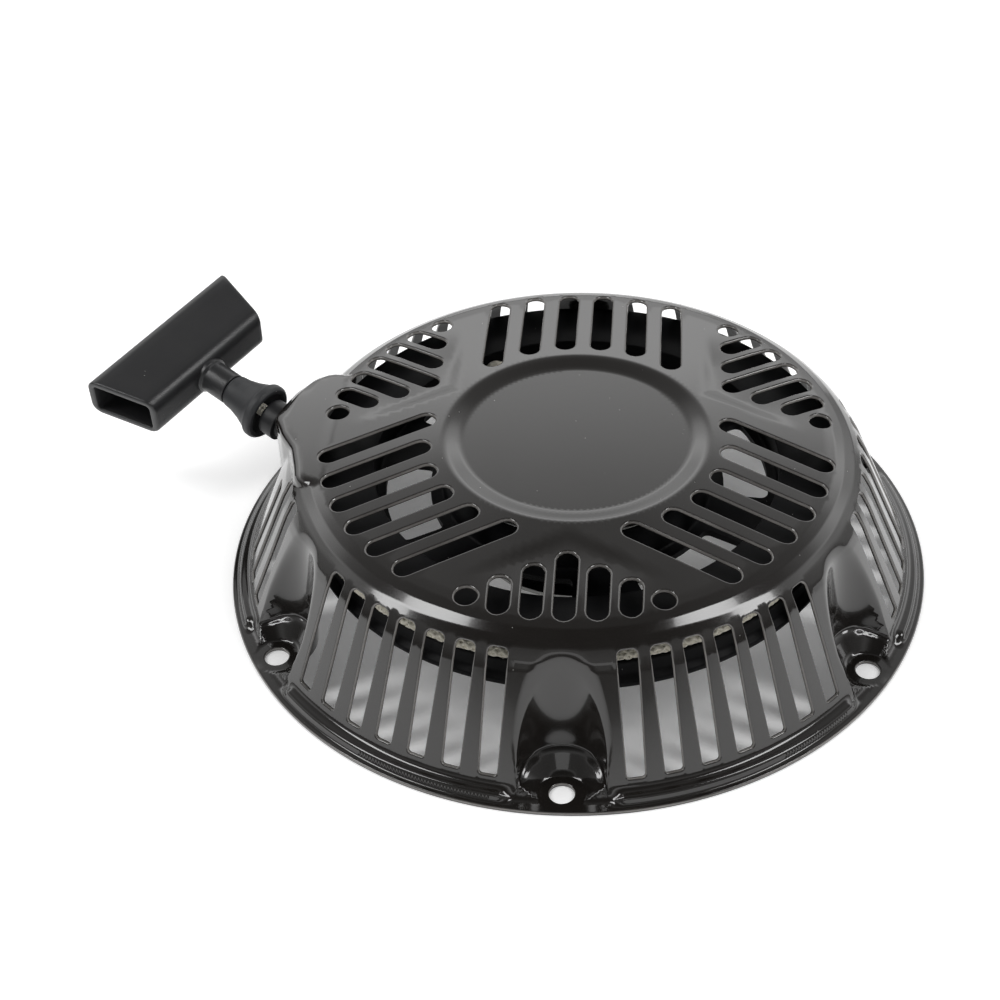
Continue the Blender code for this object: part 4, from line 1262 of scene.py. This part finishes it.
buildRope()
print("stage: rope")


# Reel with its ribs, and the pieces inside

reel = {
    "windows": 6,
    "firstWindow": 12.0,
    "ribs": 24,
    "ribThick": 1.4,
    "edge": 0.45,
}


def boxMesh(name, outline, low, high):
    build = bmesh.new()
    base = [build.verts.new((x * mm, y * mm, low * mm)) for x, y in outline]
    top = [build.verts.new((x * mm, y * mm, high * mm)) for x, y in outline]
    build.faces.new(base)
    build.faces.new(top)
    for i in range(len(base)):
        j = (i + 1) % len(base)
        build.faces.new((base[i], base[j], top[j], top[i]))
    bmesh.ops.recalc_face_normals(build, faces=build.faces)
    mesh = bpy.data.meshes.new(name)
    build.to_mesh(mesh)
    build.free()
    return mesh


def cutBy(mesh, cutters, operation="DIFFERENCE"):
    # joins or cuts closed meshes and gives back a plain mesh
    body = bpy.data.objects.new("body", mesh)
    bpy.context.scene.collection.objects.link(body)
    tools = []
    for cutter in cutters:
        tool = bpy.data.objects.new("tool", cutter)
        bpy.context.scene.collection.objects.link(tool)
        tools.append(tool)
        modifier = body.modifiers.new("cut", "BOOLEAN")
        modifier.operation = operation
        modifier.solver = "EXACT"
        modifier.object = tool
    depsgraph = bpy.context.evaluated_depsgraph_get()
    made = bpy.data.meshes.new_from_object(body.evaluated_get(depsgraph))
    for item in tools + [body]:
        bpy.data.objects.remove(item)
    return made


def sectorOutline(innerR, outerR, first, last, corner=3.0):
    points = [(outerR, first), (outerR, last), (innerR, last), (innerR, first)]
    plain = []
    for i, (radius, azimuth) in enumerate(points):
        if i in (0, 2):
            steps = np.linspace(azimuth, points[i + 1][1], 9)
            plain += [turnedPoint(radius, 0, step) for step in steps]
    path = [(x, y, corner if k in (0, 8, 9, 17) else 0) for k, (x, y) in enumerate(plain)]
    return roundedPath(path, steps=4, closed=True)


def ribTree():
    inputs = {"Count": reel["ribs"], "Length": 17.6 * mm, "Thickness": reel["ribThick"] * mm,
              "Depth": 4.4 * mm, "Middle": 84.0 * mm, "Height": 32.5 * mm}
    tree, given, result = newTree("reelRibs", inputs)
    value = given.outputs
    size = node(tree, "ShaderNodeCombineXYZ", {"X": value["Length"], "Y": value["Thickness"],
                                               "Z": value["Depth"]})
    rib = node(tree, "GeometryNodeMeshCube", {"Size": size.outputs[0], "Vertices X": 8,
                                              "Vertices Y": 3, "Vertices Z": 3})
    ring = node(tree, "GeometryNodeMeshCircle", {"Vertices": value["Count"],
                                                 "Radius": value["Middle"]})
    position = node(tree, "GeometryNodeInputPosition").outputs[0]
    facing = node(tree, "FunctionNodeAlignRotationToVector", {"Vector": position}, axis="X",
                  pivot_axis="Z")
    many = node(tree, "GeometryNodeInstanceOnPoints", {"Points": ring.outputs[0],
                                                       "Instance": rib.outputs[0],
                                                       "Rotation": facing.outputs[0]})
    raised = node(tree, "GeometryNodeTransform", {"Geometry": many.outputs[0]})
    height = node(tree, "ShaderNodeCombineXYZ", {"Z": value["Height"]})
    tree.links.new(height.outputs[0], raised.inputs["Translation"])
    endTree(tree, result, raised.outputs[0], reelPlastic)
    return tree, inputs


def buildReel():
    edge = reel["edge"]
    corners = [(15.8, 32.4), (15.8, 35.5), (45, 35.5, 1.2), (45, 49.5), (48, 49.5),
               (48, 34.8, 1.2), (72.5, 34.8, 1.2), (72.5, 44.9), (95.4, 44.9, 0.8),
               (95.4, 42.9, 0.8), (75, 42.9, 1.2), (75, 35.7, 1.2), (95.5, 35.7, 0.6),
               (95.5, 30.2, 1.5), (98.2, 28.9, 0.9), (98.2, 26.2, 0.9), (93.2, 28.5, 2),
               (93.2, 34.7, 1), (75, 34.7, 1), (73.5, 32.4, 1)]
    profile = roundedPath([(c + (edge,))[:3] for c in corners], steps=3, closed=True)
    mesh = turnedMesh("reelDrum", profile, 144)
    cutters = []
    for i in range(reel["windows"]):
        middle = reel["firstWindow"] + 60 * i
        cutters.append(boxMesh("window", sectorOutline(53, 69, middle - 19, middle + 19), 30, 37))
    mesh = cutBy(mesh, cutters)
    smooth(mesh)
    place("reelDrum", mesh, reelPlastic, "reel", ["reel"], "reel_plastic")
    tree, inputs = ribTree()
    mesh = growPiece("reelRibs", tree, inputs, reelPlastic)
    smooth(mesh)
    place("reelRibs", mesh, reelPlastic, "reel", [], "reel_plastic")


buildReel()


# Springs: round wire along a path of points

springs = {
    "frictionRadius": 10.4,
    "frictionTurns": 2,
    "frictionWire": 0.75,
    "pawlRadius": 7.2,
    "pawlTurns": 1.25,
    "pawlWire": 0.45,
    "wireSides": 12,
}


def wireTree():
    tree, given, result = newTree("wire", {"Wire Radius": 0.5 * mm, "Sides": 12})
    tree.interface.new_socket("Path", in_out="INPUT", socket_type="NodeSocketGeometry")
    tree.interface.move(tree.interface.items_tree["Path"], 0)
    curve = node(tree, "GeometryNodeMeshToCurve", {0: given.outputs["Path"]})
    section = node(tree, "GeometryNodeCurvePrimitiveCircle", {
        "Resolution": given.outputs["Sides"], "Radius": given.outputs["Wire Radius"]})
    wire = node(tree, "GeometryNodeCurveToMesh", {"Curve": curve.outputs[0], "Fill Caps": True,
                                                  "Profile Curve": section.outputs[0]})
    endTree(tree, result, wire.outputs[0], springSteel)
    return tree


def buildCoils():
    tree = wireTree()
    turns, radius, wire = (springs[key] for key in ("frictionTurns", "frictionRadius",
                                                    "frictionWire"))
    path = []
    for i in range(turns * 40 + 1):
        share = i / (turns * 40)
        x, y = turnedPoint(radius, 0, 360 * turns * share)
        path.append((x, y, 8.25 + (11.55 - 8.25) * share))
    inputs = {"Wire Radius": wire * mm, "Sides": springs["wireSides"]}
    mesh = growPiece("frictionCoil", tree, inputs, springSteel, path=path)
    place("frictionCoil", mesh, springSteel, "housing", ["friction_spring"], "spring_steel")

    path = [(12.0, 7.2, 27.8)]
    steps = int(springs["pawlTurns"] * 36)
    for i in range(steps + 1):
        x, y = turnedPoint(springs["pawlRadius"], 0, 90 + 10 * i)
        path.append((x, y, 27.6 - 3.75 * i / steps))
    path += [(-7.3, -8.0, 23.4), (-8.0, -15.0, 20.9)]
    inputs["Wire Radius"] = springs["pawlWire"] * mm
    for letter, azimuth in (("A", 0), ("B", 180)):
        turn = Matrix.Rotation(math.radians(azimuth), 4, "Z")
        move = turn @ Matrix.Translation((30 * mm, 0, 0))
        mesh = growPiece("pawlCoil" + letter, tree, inputs, springSteel, move, path)
        place("pawlCoil" + letter, mesh, springSteel, "reel", ["pawl_spring_" + letter.lower()],
              "spring_steel")


buildCoils()


def buildTurned():
    edge = 0.3
    table = [
        ("postTurned", [(0, 53.0), (22, 53.0), (22, 50.8), (12.5, 50.8), (12.5, 36.6), (8, 36.6),
                        (8, 21.9), (7, 21.9), (7, 20.2), (8, 20.2), (8, 7.5), (3.3, 7.5),
                        (3.3, 21), (0, 21)], zincSteel, "housing", "centre_post", "zinc_steel"),
        ("bushTurned", [(8.3, 22.3), (8.3, 36.1), (10.0, 36.1), (10.0, 22.3)], bushBronze,
         "housing", "reel_bush", "bush_bronze"),
        ("keeperTurned", [(14, 49.8), (14, 50.4), (47.6, 50.4), (47.6, 49.8)], zincSteel, "reel",
         "spring_keeper", "zinc_steel"),
        ("washerTurned", [(3.4, 5.5), (3.4, 7.2), (13, 7.2), (13, 5.5)], zincSteel, "housing",
         "friction_washer", "zinc_steel"),
        ("pinTurnedA", [(0, 35.2), (1.9, 35.2), (1.9, 14.5), (0, 14.5)], zincSteel, "reel",
         "pawl_pin_a", "zinc_steel"),
        ("pinTurnedB", [(0, 35.2), (1.9, 35.2), (1.9, 14.5), (0, 14.5)], zincSteel, "reel",
         "pawl_pin_b", "zinc_steel"),
    ]
    for name, section, material, body, cadNode, slotName in table:
        sharp = section[0][0] > 0
        corners = [point + (edge * (0.5 if "keeper" in name else 1),) for point in section]
        mesh = turnedMesh(name, roundedPath(corners, steps=3, closed=sharp), 96)
        if "pinTurned" in name:
            mesh.transform(Matrix.Translation(((30 if name[-1] == "A" else -30) * mm, 0, 0)))
        place(name, mesh, material, body, [cadNode], slotName)


buildTurned()
print("stage: reel and inner pieces")


# CAD pieces whose shape stays get their finish

finishes = {"reel_hub": reelPlastic, "retaining_ring": springSteel, "centre_screw": zincSteel,
            "friction_plate": zincSteel, "pawl_a": zincSteel, "pawl_b": zincSteel,
            "recoil_spring": springSteel, "spring_hook_pin": zincSteel,
            "reel_knot": strandFinish, "grip_knot": strandFinish, "grip_washer": zincSteel}
for name, material in finishes.items():
    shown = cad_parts[name]
    shown.data.materials.clear()
    shown.data.materials.append(material)
print("stage: finishes on the pieces that stay")
